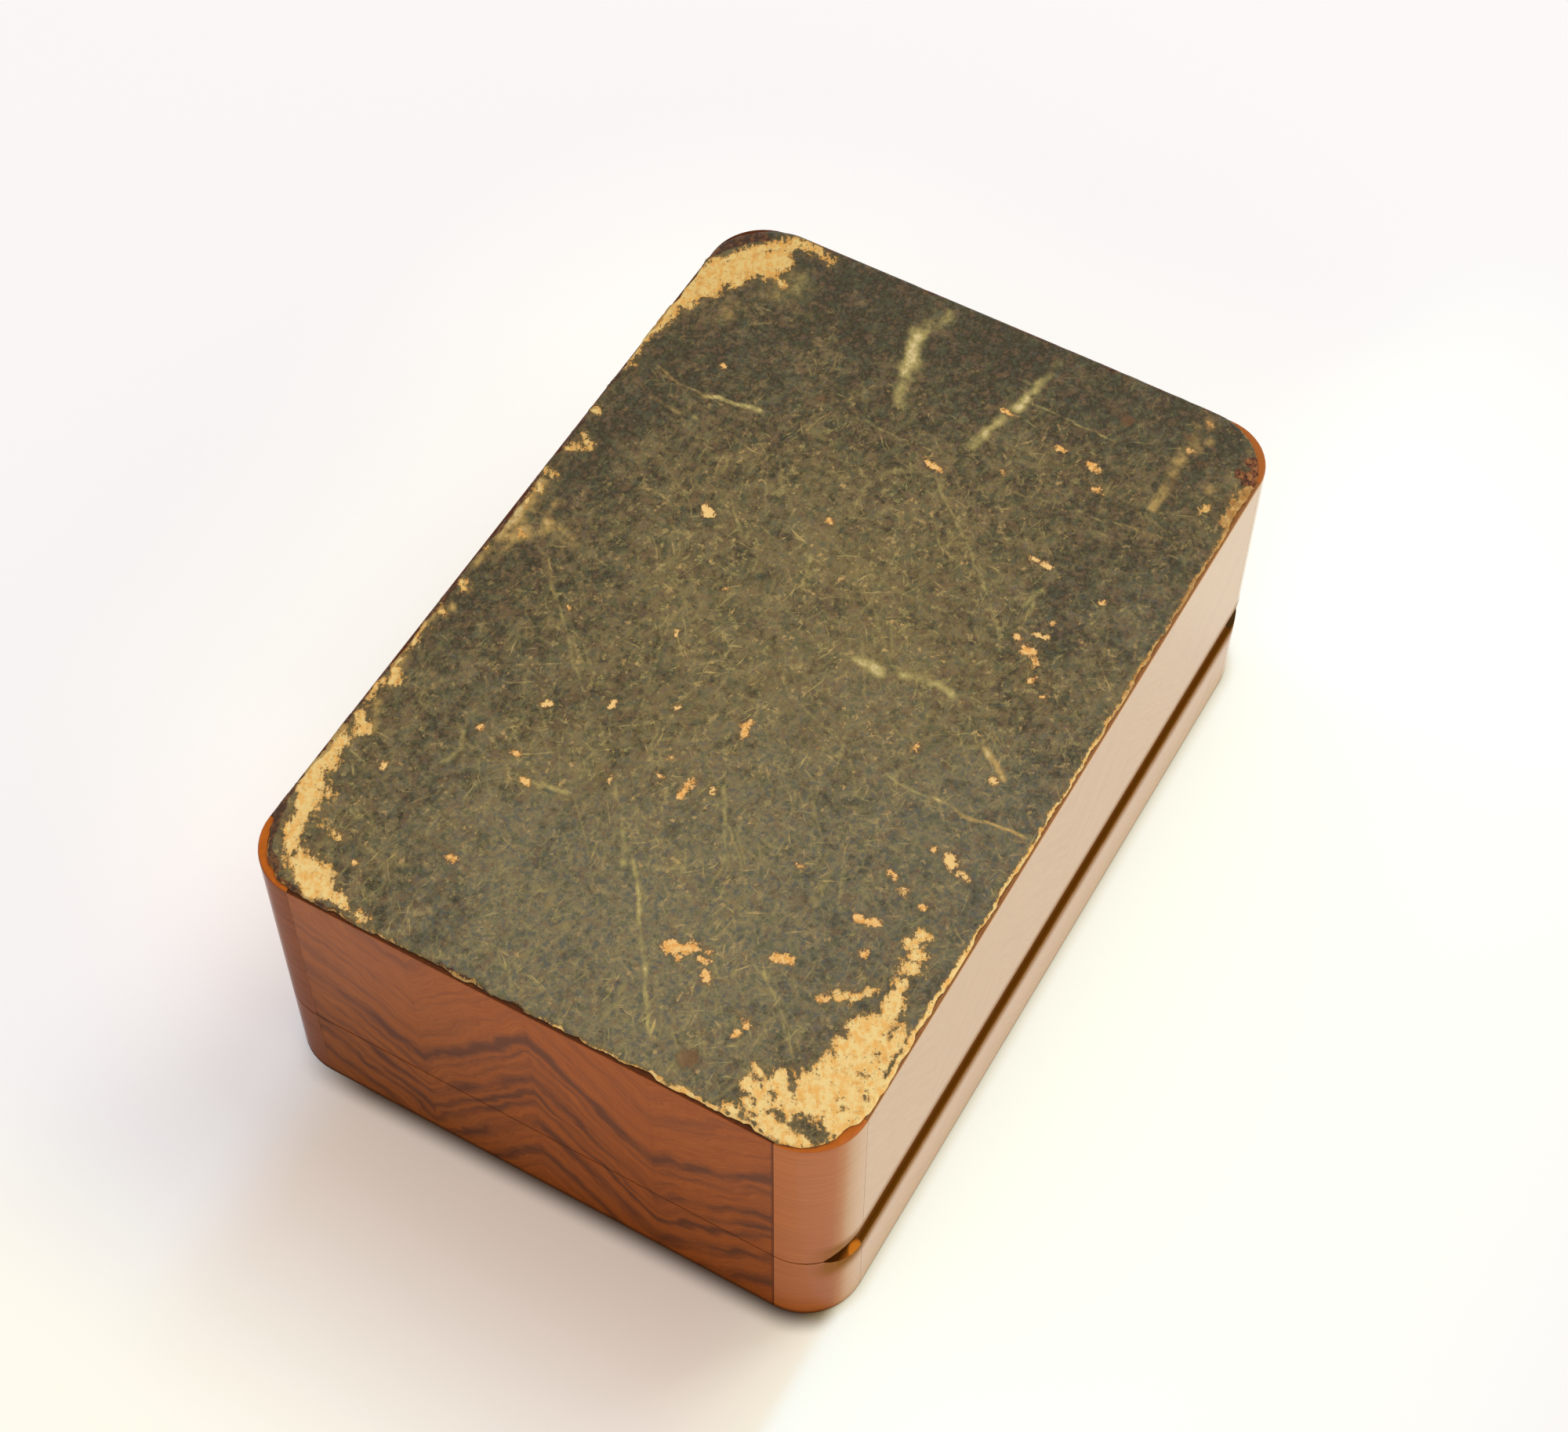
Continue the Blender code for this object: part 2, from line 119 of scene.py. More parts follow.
GLEAM_TINT = (0.60, 1.0, 0.54)
FAR_REACH = 62.0
FAR_PAINTED_LIGHT = (0.11, 0.115, 0.06)
BELOW_PAINTED_LIGHT = (0.08, 0.075, -0.03)
LIFT_TINT = (1.0, 1.27, 1.56)
LEFT_PLACE = (36.0, -47.0, 0.0)
LEFT_REACH = 34.0
LEFT_PAINTED_LIGHT = (0.09, 0.06, 0.05)

# The box's outer corners, whose facets are shaded as one round
CORNER_RADIUS = 0.0066
FACET_TURN = math.radians(30)

# The base cover's own sizes, and how far its outline wanders
COVER_RADIUS = 0.0085
COVER_STEP = 0.00028
CORNER_ROWS = 36
EDGE_WANDER = 0.00035
EDGE_SPARE = 0.00017  # the cover may swell this far, which is still in the CAD's box
EDGE_ROUNDING = 0.00035


# Small tools for materials

def new_material(name):
    made = bpy.data.materials.new(name)
    made.use_nodes = True
    tree = made.node_tree
    return made, tree, tree.nodes["Principled BSDF"]


def feed(node, ins):
    """Gives a node's inputs: values, or other nodes' outputs."""
    for key, value in ins.items():
        if isinstance(value, bpy.types.NodeSocket):
            node.id_data.links.new(value, node.inputs[key])
        else:
            node.inputs[key].default_value = value


def put(kind, ins, tree=None, **settings):
    """Adds a node to the given tree, or else to the one its inputs are in."""
    if tree is None:
        sockets = (value for value in ins.values()
                   if isinstance(value, bpy.types.NodeSocket))
        tree = next(sockets).id_data
    made = tree.nodes.new(kind)
    for key, value in settings.items():
        setattr(made, key, value)
    feed(made, ins)
    return made


def math_node(operation, *values):
    ins = dict(enumerate(values))
    return put("ShaderNodeMath", ins, operation=operation).outputs[0]


def vector_math(operation, *values):
    ins = dict(enumerate(values))
    return put("ShaderNodeVectorMath", ins, operation=operation).outputs


def add(*values):
    total = values[0]
    for value in values[1:]:
        total = math_node("ADD", total, value)
    return total


def times(*values):
    total = values[0]
    for value in values[1:]:
        total = math_node("MULTIPLY", total, value)
    return total


def inverse(value):
    return math_node("SUBTRACT", 1.0, value)


def larger(*values):
    return math_node("MAXIMUM", *values)


def smaller(*values):
    return math_node("MINIMUM", *values)


def magnitude(value):
    return math_node("ABSOLUTE", value)


def sway(value, *pairs):
    """Adds noises to a value, each about its middle and times its own strength."""
    for wave, strength in pairs:
        value = add(value, times(add(wave, -0.5), strength))
    return value


def step(value, low, high):
    """0 below low, 1 above high, smooth between them."""
    ins = {"Value": value, "From Min": low, "From Max": high}
    made = put("ShaderNodeMapRange", ins, interpolation_type="SMOOTHSTEP")
    return made.outputs["Result"]


def blend(share, first, second, mode="MIX"):
    """Colour between first, at share 0, and second, at share 1."""
    first, second = ((*value, 1) if isinstance(value, tuple) else value
                     for value in (first, second))
    return put("ShaderNodeMix", {0: share, 6: first, 7: second}, data_type="RGBA",
               blend_type=mode).outputs[2]


def paint(base, value, low, high, share, colour):
    """Lays colour over base where value rises from low to high, at most by share."""
    return blend(times(step(value, low, high), share), base, colour)


def places(tree):
    """Places on the piece in millimetres: the vector and its three parts."""
    coords = put("ShaderNodeTexCoord", {}, tree).outputs["Object"]
    scaled = put("ShaderNodeVectorMath", {0: coords, "Scale": MM}, operation="SCALE")
    return scaled.outputs[0], *put("ShaderNodeSeparateXYZ", {0: scaled.outputs[0]}).outputs


def normals(tree):
    coords = put("ShaderNodeTexCoord", {}, tree).outputs["Normal"]
    return put("ShaderNodeSeparateXYZ", {0: coords}).outputs


def vector(x, y, z):
    return put("ShaderNodeCombineXYZ", {0: x, 1: y, 2: z}).outputs[0]


def noise(where, scale, detail=3.0, rough=0.55):
    ins = {"Vector": where, "Scale": scale, "Detail": detail, "Roughness": rough}
    return put("ShaderNodeTexNoise", ins).outputs[0]


def apart(where, shift, *kind):
    """Noise from elsewhere, so that it doesn't follow the others."""
    return noise(vector_math("ADD", where, (*shift, 0.0))[0], *kind)


def attribute(tree, name):
    return put("ShaderNodeAttribute", {}, tree, attribute_name=name).outputs["Fac"]


def ramp(value, stops):
    made = put("ShaderNodeValToRGB", {0: value})
    marks = made.color_ramp.elements
    while len(marks) < len(stops):
        marks.new(0.5)
    for mark, (place, shade) in zip(marks, stops):
        mark.position = place
        mark.color = (*shade, 1)
    return made.outputs[0]


def bump(shader, height, depth, strength):
    ins = {"Height": height, "Distance": depth, "Strength": strength}
    feed(shader, {"Normal": put("ShaderNodeBump", ins).outputs[0]})


def dress(material, *names):
    for name in names:
        obj = frame["nodes"][name]
        obj.data.materials.clear()
        obj.data.materials.append(material)


def facet_smoother():
    """Nodes that shade small facets as one round and leave real edges sharp."""
    made = bpy.data.node_groups.new("smooth_facets", "GeometryNodeTree")
    for way in ("INPUT", "OUTPUT"):
        made.interface.new_socket("Geometry", in_out=way, socket_type="NodeSocketGeometry")
    source, out = made.nodes.new("NodeGroupInput"), made.nodes.new("NodeGroupOutput")
    weld = put("GeometryNodeMergeByDistance", {"Geometry": source.outputs[0],
                                               "Distance": 0.000001})
    turn = put("GeometryNodeInputMeshEdgeAngle", {}, made).outputs["Unsigned Angle"]
    sharp = put("FunctionNodeCompare", {0: turn, 1: FACET_TURN}, operation="GREATER_THAN")
    shade = put("GeometryNodeSetMeshNormal", {
        "Mesh": weld.outputs[0],
        "Remove Custom": True,
        "Edge Sharpness": sharp.outputs[0],
        "Face Sharpness": False,
    })
    made.links.new(shade.outputs[0], out.inputs[0])
    return made


# Lacquered woods

VARNISH_ROUGHNESS = 0.11
GRAIN_DEPTH = 0.000012
BANDS_REACH = 45.0

# Heights on the hinged side, in millimetres: the groove's rims and how far their bands of
# wear and painted shade reach
GROOVE_LOW = 10.5
GROOVE_HIGH = 14.6
LOW_WEAR_SHADE = 3.0
HIGH_WEAR_SHADE = 1.8
FOOT = 1.3
GLOW_SPOT = (45.5, 34.5, 10.6)

# Colours of edges: worn rims and the groove, stained and with painted shade, the veneer
# tops with painted shade and a painted highlight, and the foot with dirt and painted shade.
# A pair lies between two colours by how dirty it is.
WORN_SHADED_WOOD = (0.28, 0.122, 0.014)
GROOVE_STAIN_AND_SHADE = (
    (0.05, (0.20, 0.085, 0.012)), (0.17, (0.13, 0.045, 0.004)),
    (0.28, (0.105, 0.034, 0.0016)), (0.40, (0.17, 0.064, 0.013)),
    (0.53, (0.32, 0.16, 0.070)), (0.62, (0.46, 0.26, 0.12)),
)
GROOVE_ORANGE = (0.36, 0.115, 0.016)
GROOVE_SHADE_DARK = (0.065, 0.020, 0.002)
GROOVE_FAR = (0.065, 0.034, 0.008)
GLOW = (0.66, 0.22, 0.02)
TOP_SHADED_BROWN = ((0.050, 0.018, 0.010), (0.17, 0.050, 0.014))
TOP_ORANGE = ((0.19, 0.072, 0.020), (0.42, 0.175, 0.045))
TOP_HIGHLIGHT = ((0.68, 0.192, 0.020), (0.42, 0.105, 0.018))
TOP_FAR = (0.46, 0.150, 0.036)
FOOT_DIRT_AND_SHADE = (0.045, 0.018, 0.008)


def varnish(shader, weight, roughness=VARNISH_ROUGHNESS):
    feed(shader, {"Coat Weight": weight, "Coat Roughness": roughness,
                  "Coat IOR": 1.5, "Specular IOR Level": 0.0})


def streaky_wood(level, along, tint, bands=()):
    """Streaks that follow level, the height across the grain in millimetres."""
    grain = noise(vector(times(level, 2.6), times(along, 0.30), 0.0), 1.0, 4.0, 0.6)
    pore = noise(vector(times(level, 11.0), times(along, 1.1), 9.0), 1.0, 2.0, 0.6)
    faint = noise(vector(level, 7.0, times(along, 0.06)), 0.6, 4.0, 0.6)
    fade = noise(vector(times(along, 0.7), level, 20.0), 0.2, 2.0)
    wood = blend(step(grain, 0.28, 0.72), tint["light"], tint["deep"])
    wood = paint(wood, faint, 0.44, 0.72, 0.45, tint["dark"])
    if bands:
        stops = [(0.0, (0.0,) * 3)]
        for middle, width, strength in sorted(bands):
            for shift, shade in ((-1.5, 0.0), (0.0, strength), (1.5, 0.0)):
                stops.append(((middle + width * shift) / BANDS_REACH, (shade,) * 3))
        share = ramp(times(level, 1 / BANDS_REACH), stops)
        dark = times(share, add(0.45, step(fade, 0.38, 0.62)), add(0.6, times(grain, 0.8)))
        wood = blend(smaller(dark, 1.0), wood, tint["dark"])
    wood = paint(wood, pore, 0.5, 0.75, 0.35, tint["pore"])
    return wood, add(grain, times(pore, 0.5))


def figured_veneer(name, axis, slopes, leaf, bands, tint, gloss):
    """Book-matched leaves of streaky wood. Their streaks rise and fall by turns.

    slopes has one rise for each leaf, from the low end of the side to its high end.
    """
    made, tree, shader = new_material(name)
    where, x, y, z = places(tree)
    along = x if axis == "X" else y
    first = -leaf * len(slopes) / 2
    seams = [first + leaf * i for i in range(1, len(slopes))]
    rise = times(along, slopes[0])
    start = 0.0
    for place, before, after in zip(seams, slopes, slopes[1:]):
        away = larger(math_node("SUBTRACT", along, place), 0.0)
        rise = add(rise, times(away, after - before))
        start += max(-place, 0) * (after - before)
    slow = noise(vector(along, times(z, 0.9), 0.0), 0.16, 2.0)
    mid = noise(vector(times(along, 0.5), z, 3.0), 0.45, 2.0)
    level = sway(add(z, rise, -start), (slow, 4.5), (mid, 2.0))
    wood, relief = streaky_wood(level, along, tint, bands)
    for place in seams:
        gap = magnitude(math_node("SUBTRACT", along, place))
        line = inverse(step(gap, 0.02, 0.3))
        wood = blend(times(line, tint["seam"]), wood, tint["pore"])
    gap = magnitude(along)
    end = -first
    line = times(step(gap, end - 0.45, end - 0.1), tint["end"])
    shine = gloss
    if axis == "Y":
        line = times(line, add(0.1, step(y, 0.0, 1.0)))
        # Painted light: a cool, bluish cast toward the front end and a slightly darker tint
        # toward the hinged end.
        painted_light_tint = blend(step(y, -34.0, 12.0), tint["left"], tint["right"])
        wood = blend(1.0, wood, painted_light_tint, "MULTIPLY")
        # Painted shade: darker towards the foot.
        wood = painted_foot_shade(wood, z, tint["foot"])
        fuller = times(step(z, 4.0, 34.0), 0.6)
        shine = times(gloss, add(0.4, fuller))
    wood = blend(line, wood, tint["pore"])
    varnish(shader, gloss)
    edge_finish(shader, wood, where, shine, False)
    bump(shader, relief, GRAIN_DEPTH, 0.5)
    return made


def painted_foot_shade(wood, z, foot):
    """Wood that is darker towards the foot: painted shade."""
    shade = blend(step(z, -4.0, 38.0), foot, (1.0, 1.0, 1.0))
    return blend(1.0, wood, shade, "MULTIPLY")


def face_veneer(name, spread, tint):
    """Veneer of the lid's face. Its streaks mirror over both middle lines."""
    made, tree, shader = new_material(name)
    where, x, y, _ = places(tree)
    far_x, far_y = magnitude(x), magnitude(y)
    slow = noise(vector(far_x, far_y, 0.0), 0.16, 2.0)
    level = add(times(far_x, spread[0]), times(far_y, spread[1]))
    level = sway(level, (slow, 5.0 * min(spread) + 0.6))
    along = add(times(far_x, spread[1]), times(far_y, -spread[0]))
    wood, relief = streaky_wood(level, along, tint)
    rubbed = noise(where, 0.12, 3.0)
    wood = paint(wood, rubbed, 0.45, 0.7, 0.3, tint["light"])
    rough = math_node("MULTIPLY_ADD", noise(where, 0.5, 4.0), 0.25, 0.05)
    varnish(shader, 0.8, rough)
    feed(shader, {"Base Color": wood, "Roughness": 0.4})
    bump(shader, relief, GRAIN_DEPTH, 0.5)
    return made


def edge_finish(shader, wood, where, gloss, corner):
    """Worn rims with painted shade, the stained groove with painted shade, veneer tops with
    painted shade and a painted highlight, a foot darkened with dirt and painted shade, and
    where the varnish is gone.
    """
    x, y, z = put("ShaderNodeSeparateXYZ", {0: where}).outputs
    _, ny, nz = normals(shader.id_data)
    dirt = noise(where, 1.4, 3.0)
    away = inverse(magnitude(nz))
    # Bands above and below the groove: wear, with painted shade that stands in for rounded
    # rims.
    low = times(step(z, GROOVE_LOW - LOW_WEAR_SHADE, GROOVE_LOW), inverse(step(z, 12.0, 12.2)))
    high = times(inverse(step(z, GROOVE_HIGH, GROOVE_HIGH + HIGH_WEAR_SHADE)),
                 step(z, 12.4, 12.6), 0.75)
    wear_and_shade = times(add(low, high), step(ny, 0.45, 0.95),
                 step(away, 0.6, 0.9), add(0.75, times(dirt, 0.4)))
    wood = blend(wear_and_shade, wood, WORN_SHADED_WOOD)

    # The groove: a stain with painted shade, darkest part way in and paler deeper in.
    slope = smaller(step(ny, 0.2, 0.4),
                    times(step(away, 0.1, 0.2),
                          inverse(step(away, 0.5, 0.7))))
    groove = times(slope, inverse(step(z, 17.0, 18.0)))
    depth = times(add(z, -10.4, times(dirt, 0.15)), 0.5)
    stain_and_shade = ramp(depth, GROOVE_STAIN_AND_SHADE)
    # At the corners the groove is orange low down and painted shade higher up, with a glow
    # at one spot.
    if corner:
        rim = blend(step(z, 10.7, 11.6), GROOVE_ORANGE, GROOVE_SHADE_DARK)
        rim = blend(step(x, 30.0, 40.0), GROOVE_FAR, rim)
        stain_and_shade = blend(step(y, 34.3, 34.6), rim, stain_and_shade)
        gap = vector_math("DISTANCE", where, GLOW_SPOT)["Value"]
        stain_and_shade = blend(inverse(step(gap, 0.75, 1.2)), stain_and_shade, GLOW)
    wood = blend(groove, wood, stain_and_shade)

    # Veneer tops: painted shade on the front side, orange on the hinged side, and a painted
    # highlight on the upper corners except the far one.
    edge = blend(step(y, 28.0, 33.5), blend(dirt, *TOP_SHADED_BROWN), blend(dirt, *TOP_ORANGE))
    if corner:
        corner_highlight = blend(step(x, -40.0, 40.0), TOP_FAR, blend(dirt, *TOP_HIGHLIGHT))
        lit = times(step(larger(x, y), -12.0, 0.0), step(z, 30.0, 31.0))
        edge = blend(lit, edge, corner_highlight)
    top = times(step(nz, 0.35, 0.8), inverse(groove))
    wood = blend(top, wood, edge)
    # The foot: dirt and painted contact shade, lighter on the hinged side.
    foot = times(inverse(step(z, 0.0, FOOT)),
                 blend(step(ny, 0.6, 0.9), (0.9,) * 3, (0.45,) * 3))
    wood = blend(foot, wood, FOOT_DIRT_AND_SHADE)
    bare = larger(times(wear_and_shade, 0.95), times(foot, 0.9))
    bare = larger(bare, larger(groove, times(top, 0.7)))
    coat = times(inverse(bare), gloss)
    feed(shader, {"Base Color": wood, "Roughness": 0.4, "Coat Weight": coat})


def fine_grain(x, y, level, fine, coarse, detail=4.0):
    """Noise in thin layers: long along the piece, and short across the grain."""
    along_x, along_y = times(x, coarse), times(y, coarse)
    return noise(vector(along_x, along_y, times(level, fine)), 1.0, detail, 0.6)


def plain_veneer(name):
    """The corners' veneer: fine level grain, paler on the hinged side, with painted light
    that turns it paler as it faces the hinged side and painted shade towards the foot.
    """
    made, tree, shader = new_material(name)
    where, x, y, z = places(tree)
    ny = normals(tree)[1]
    level = sway(z, (noise(where, 0.12, 2.0), 2.0))
    lines = fine_grain(x, y, level, 2.2, 0.12)
    fleck = fine_grain(x, y, level, 7.0, 0.9, 2.0)
    pale = step(y, 0.0, 1.0)
    # Painted light: the colour follows the normal, turning paler as the corner faces the
    # hinged side.
    turn = step(ny, 0.76, 0.995)
    light = blend(pale, (0.30, 0.094, 0.033), (0.57, 0.175, 0.034))
    deep = blend(pale, (0.22, 0.067, 0.025), (0.47, 0.140, 0.026))
    light = blend(turn, light, (0.66, 0.36, 0.14))
    deep = blend(turn, deep, (0.60, 0.32, 0.12))
    wood = blend(step(lines, 0.25, 0.75), light, deep)
    wood = paint(wood, fleck, 0.62, 0.75, 0.25, (0.28, 0.08, 0.02))
    # Painted shade towards the foot, where the corner does not face the hinged side.
    foot_shaded = painted_foot_shade(wood, z, (0.80, 0.72, 0.50))
    wood = blend(inverse(turn), wood, foot_shaded)
    far_side = step(times(ny, -1.0), 0.35, 0.9)
    shine = add(0.22, times(pale, 0.28), times(far_side, 0.78),
                times(step(turn, 0.45, 1.0), 0.5))
    varnish(shader, 0.62)
    edge_finish(shader, wood, where, shine, True)
    bump(shader, lines, GRAIN_DEPTH, 0.4)
    return made


def carcass_wood(name):
    made, tree, shader = new_material(name)
    _, x, y, z = places(tree)
    lines = fine_grain(x, y, z, 2.2, 0.2)
    wood = blend(lines, (0.30, 0.115, 0.038), (0.17, 0.055, 0.018))
    _, ny, nz = normals(tree)
    slope = smaller(ny, magnitude(nz))
    wood = blend(step(slope, 0.45, 0.6), wood, (0.10, 0.032, 0.008))
    feed(shader, {"Base Color": wood, "Roughness": 0.5})
    bump(shader, lines, 0.00003, 0.5)
    return made


def velvet(name):
    made, tree, shader = new_material(name)
    where = places(tree)[0]
    pile = noise(where, 6.0, 2.0, 0.6)
    nap = noise(where, 0.18, 3.0, 0.6)
    cloth = blend(nap, (0.17, 0.010, 0.018), (0.09, 0.005, 0.010))
    cloth = paint(cloth, pile, 0.45, 0.8, 0.5, (0.26, 0.03, 0.04))
    feed(shader, {"Base Color": cloth, "Roughness": 0.95, "Sheen Weight": 0.6,
                  "Sheen Roughness": 0.4, "Sheen Tint": (1.0, 0.35, 0.4, 1)})
    bump(shader, pile, 0.0001, 0.6)
    return made


def brass(name):
    made, tree, shader = new_material(name)
    where = places(tree)[0]
    tarnish = noise(where, 1.1, 4.0, 0.6)
    metal = blend(step(tarnish, 0.35, 0.7), (0.66, 0.43, 0.16), (0.40, 0.25, 0.095))
    rough = math_node("MULTIPLY_ADD", tarnish, 0.3, 0.22)
    feed(shader, {"Base Color": metal, "Metallic": 1.0, "Roughness": rough})
    bump(shader, noise(where, 9.0, 2.0), 0.00001, 0.5)
    return made


def boxwood(name):
    made, tree, shader = new_material(name)
    where = places(tree)[0]
    lines = noise(where, 1.5, 4.0, 0.6)
    wood = blend(lines, (0.72, 0.46, 0.17), (0.50, 0.29, 0.095))
    feed(shader, {"Base Color": wood, "Roughness": 0.35})
    varnish(shader, 0.8, 0.16)
    bump(shader, lines, 0.00001, 0.4)
    return made


# Marks on the base cover, in thousandths. Shares run along the box from its left
# end and across it from its front; a size is a share of the depth. A row has one
# place, for a round mark, or the two ends of a long one.

PATCH_SHARES = (
    # the ends, and the radius
    (262, 0, 200, 1, 10), (200, 1, 150, 5, 15), (150, 6, 118, 18, 23),
    (118, 20, 90, 42, 30), (90, 42, 62, 74, 34), (62, 74, 48, 108, 24),
    (62, 108, 70, 134, 9), (26, 100, 14, 132, 11), (14, 132, 8, 160, 9),
    (9, 160, 14, 186, 6), (334, 15, 336, 18, 4), (366, 22, 380, 32, 3),
    (394, 18, 378, 44, 5), (428, 11, 429, 31, 4), (453, 13, 458, 17, 6),
    (473, 10, 480, 13, 5), (516, 38, 512, 50, 4), (552, 11, 553, 14, 4),
    (600, 14, 604, 22, 6), (640, 12, 641, 16, 4), (668, 10, 690, 12, 5),
    (705, 3, 720, 7, 8), (728, 14, 740, 25, 8), (790, 18, 806, 38, 11),
    (815, 3, 829, 12, 12), (829, 12, 865, 9, 18), (865, 10, 889, 24, 22),
    (889, 25, 910, 37, 20), (885, 52, 886, 58, 6), (910, 38, 934, 43, 17),
    (934, 43, 954, 58, 14), (954, 58, 969, 77, 12), (972, 108, 978, 128, 28),
    (983, 150, 987, 170, 14), (986, 170, 985, 184, 9), (989, 212, 990, 222, 6),
    (922, 73, 918, 94, 4), (918, 94, 925, 114, 5), (753, 916, 737, 935, 9),
    (760, 932, 759, 942, 9), (774, 936, 773, 948, 11), (794, 939, 810, 941, 7),
    (818, 942, 838, 952, 15), (852, 930, 858, 952, 26), (880, 930, 882, 955, 28),
    (910, 925, 912, 950, 30), (936, 912, 940, 930, 28), (917, 968, 949, 966, 25),
    (960, 898, 947, 861, 20), (958, 832, 962, 846, 12), (941, 836, 938, 829, 8),
    (970, 864, 978, 844, 12), (992, 822, 990, 836, 8), (985, 880, 984, 935, 12),
    (984, 880, 988, 858, 8), (834, 868, 822, 890, 6), (822, 890, 811, 914, 5),
    (840, 980, 930, 984, 12), (84, 986, 130, 989, 12), (131, 948, 128, 954, 6),
    (100, 26, 72, 46, 14), (70, 46, 48, 68, 16), (44, 72, 26, 96, 12),
    (18, 108, 12, 140, 10), (742, 16, 770, 8, 8), (662, 5, 674, 6, 5),
)

HOLE_SHARES = (
    # where the paper is left inside a bare patch
    (957, 926, 960, 936, 6), (963, 940, 971, 940, 6), (975, 934, 978, 925, 7),
    (976, 917, 971, 912, 6), (964, 910, 958, 916, 7), (935, 959, 936, 961, 6),
    (968, 842, 975, 850, 5), (985, 838, 988, 848, 6), (955, 868, 958, 872, 5),
    (870, 962, 880, 964, 6), (846, 962, 850, 966, 7), (990, 866, 990, 872, 6),
    (905, 906, 905, 910, 5), (915, 978, 917, 980, 5), (892, 968, 894, 972, 4),
    (954, 941, 957, 943, 4), (962, 66, 966, 74, 5), (946, 70, 950, 78, 8),
)

STRIP_SHARES = (
    # along, and how wide the bare strip beside the hinged side is there
    (60, 0), (75, 10), (120, 14), (180, 5), (240, 8), (300, 4), (330, 9), (420, 7),
    (520, 5), (640, 8), (700, 6), (760, 11), (900, 14), (950, 9), (980, 0),
)

LIP_SHARES = (
    # along one end of the paper: across, and how wide the bare lip is there
    (0, 0), (150, 9), (200, 5), (230, 0), (290, 6), (330, 0), (390, 5), (450, 5), (500, 0),
    (540, 6), (620, 7), (660, 5), (720, 8), (830, 9), (900, 0),
)

RIM_SHARES = (
    # a dark edge of painted shade: the ends, and the width
    (75, 0, 52, 8, 12), (52, 8, 36, 24, 18), (36, 24, 24, 50, 16), (24, 50, 26, 70, 9),
    (0, 60, 0, 900, 7), (80, 0, 300, 0, 5), (300, 0, 640, 0, 8), (640, 0, 860, 0, 9),
    (860, 0, 925, 0, 9), (925, 0, 960, 14, 12), (960, 14, 988, 62, 11),
    (988, 62, 1000, 130, 6), (1000, 130, 1000, 500, 5), (0, 900, 20, 975, 6),
)

SPOT_SHARES = (
    # the ends, the radius, and a tint: 1 is cream, 0 orange tan and -1 red brown
    (209, 142, 5, 0), (200, 315, 5, -1), (340, 451, 6, 0), (390, 268, 394, 278, 10, 1),
    (129, 702, 7, 0), (138, 758, 142, 768, 7, 0), (161, 785, 163, 794, 5, 0),
    (114, 582, 116, 590, 6, 0), (217, 524, 220, 546, 5, 0), (274, 754, 279, 782, 5, 1),
    (343, 843, 5, 0), (364, 830, 363, 846, 5, 1), (378, 806, 378, 812, 5, 0),
    (387, 824, 388, 840, 6, 0), (392, 846, 398, 850, 5, 0), (413, 862, 5, 0),
    (426, 890, 5, 0), (294, 893, 5, 0), (626, 428, 6, 1), (608, 535, 615, 533, 5, 0),
    (614, 528, 622, 538, 5, 0), (695, 509, 711, 504, 7, 0), (707, 464, 5, 0),
    (691, 250, 7, 1), (748, 188, 743, 186, 5, 0), (754, 257, 754, 260, 5, 0),
    (777, 290, 777, 297, 6, 0), (643, 900, 649, 911, 8, 1), (655, 925, 659, 937, 5, 1),
    (642, 873, 643, 875, 4, 0), (751, 832, 748, 857, 8, 0), (825, 764, 824, 778, 8, 0),
    (870, 626, 859, 653, 10, 0), (874, 646, 878, 648, 5, 0), (854, 671, 855, 673, 4, 0),
    (864, 676, 867, 682, 6, 0), (878, 693, 880, 699, 5, 0), (904, 780, 906, 782, 6, 0),
    (916, 780, 921, 776, 6, 0), (964, 737, 965, 739, 12, -1), (551, 769, 6, 0),
    (546, 890, 548, 896, 5, 1), (573, 189, 6, 0), (598, 638, 5, 0), (110, 880, 3, -1),
    (58, 758, 60, 762, 7, -1), (64, 876, 65, 878, 6, -0.3), (20, 877, 21, 878, 6, -0.4),
    (783, 870, 787, 871, 5, 0), (732, 716, 4, 0), (844, 856, 849, 852, 5, 0),
    (680, 456, 4, 0), (888, 268, 890, 280, 5, 0), (708, 904, 708, 907, 6, 0),
    (700, 866, 704, 868, 5, 1), (690, 842, 692, 846, 5, 0), (830, 100, 831, 102, 5, 1),
    (937, 158, 938, 161, 4, 0), (545, 352, 547, 353, 4, 1), (470, 372, 472, 374, 3, 0),
    (655, 333, 657, 335, 5, 1), (735, 402, 738, 404, 4, 1), (690, 545, 694, 547, 4, 1),
    (45, 860, 46, 862, 4, -1), (75, 905, 76, 907, 5, -1), (190, 640, 191, 642, 3, 0),
)

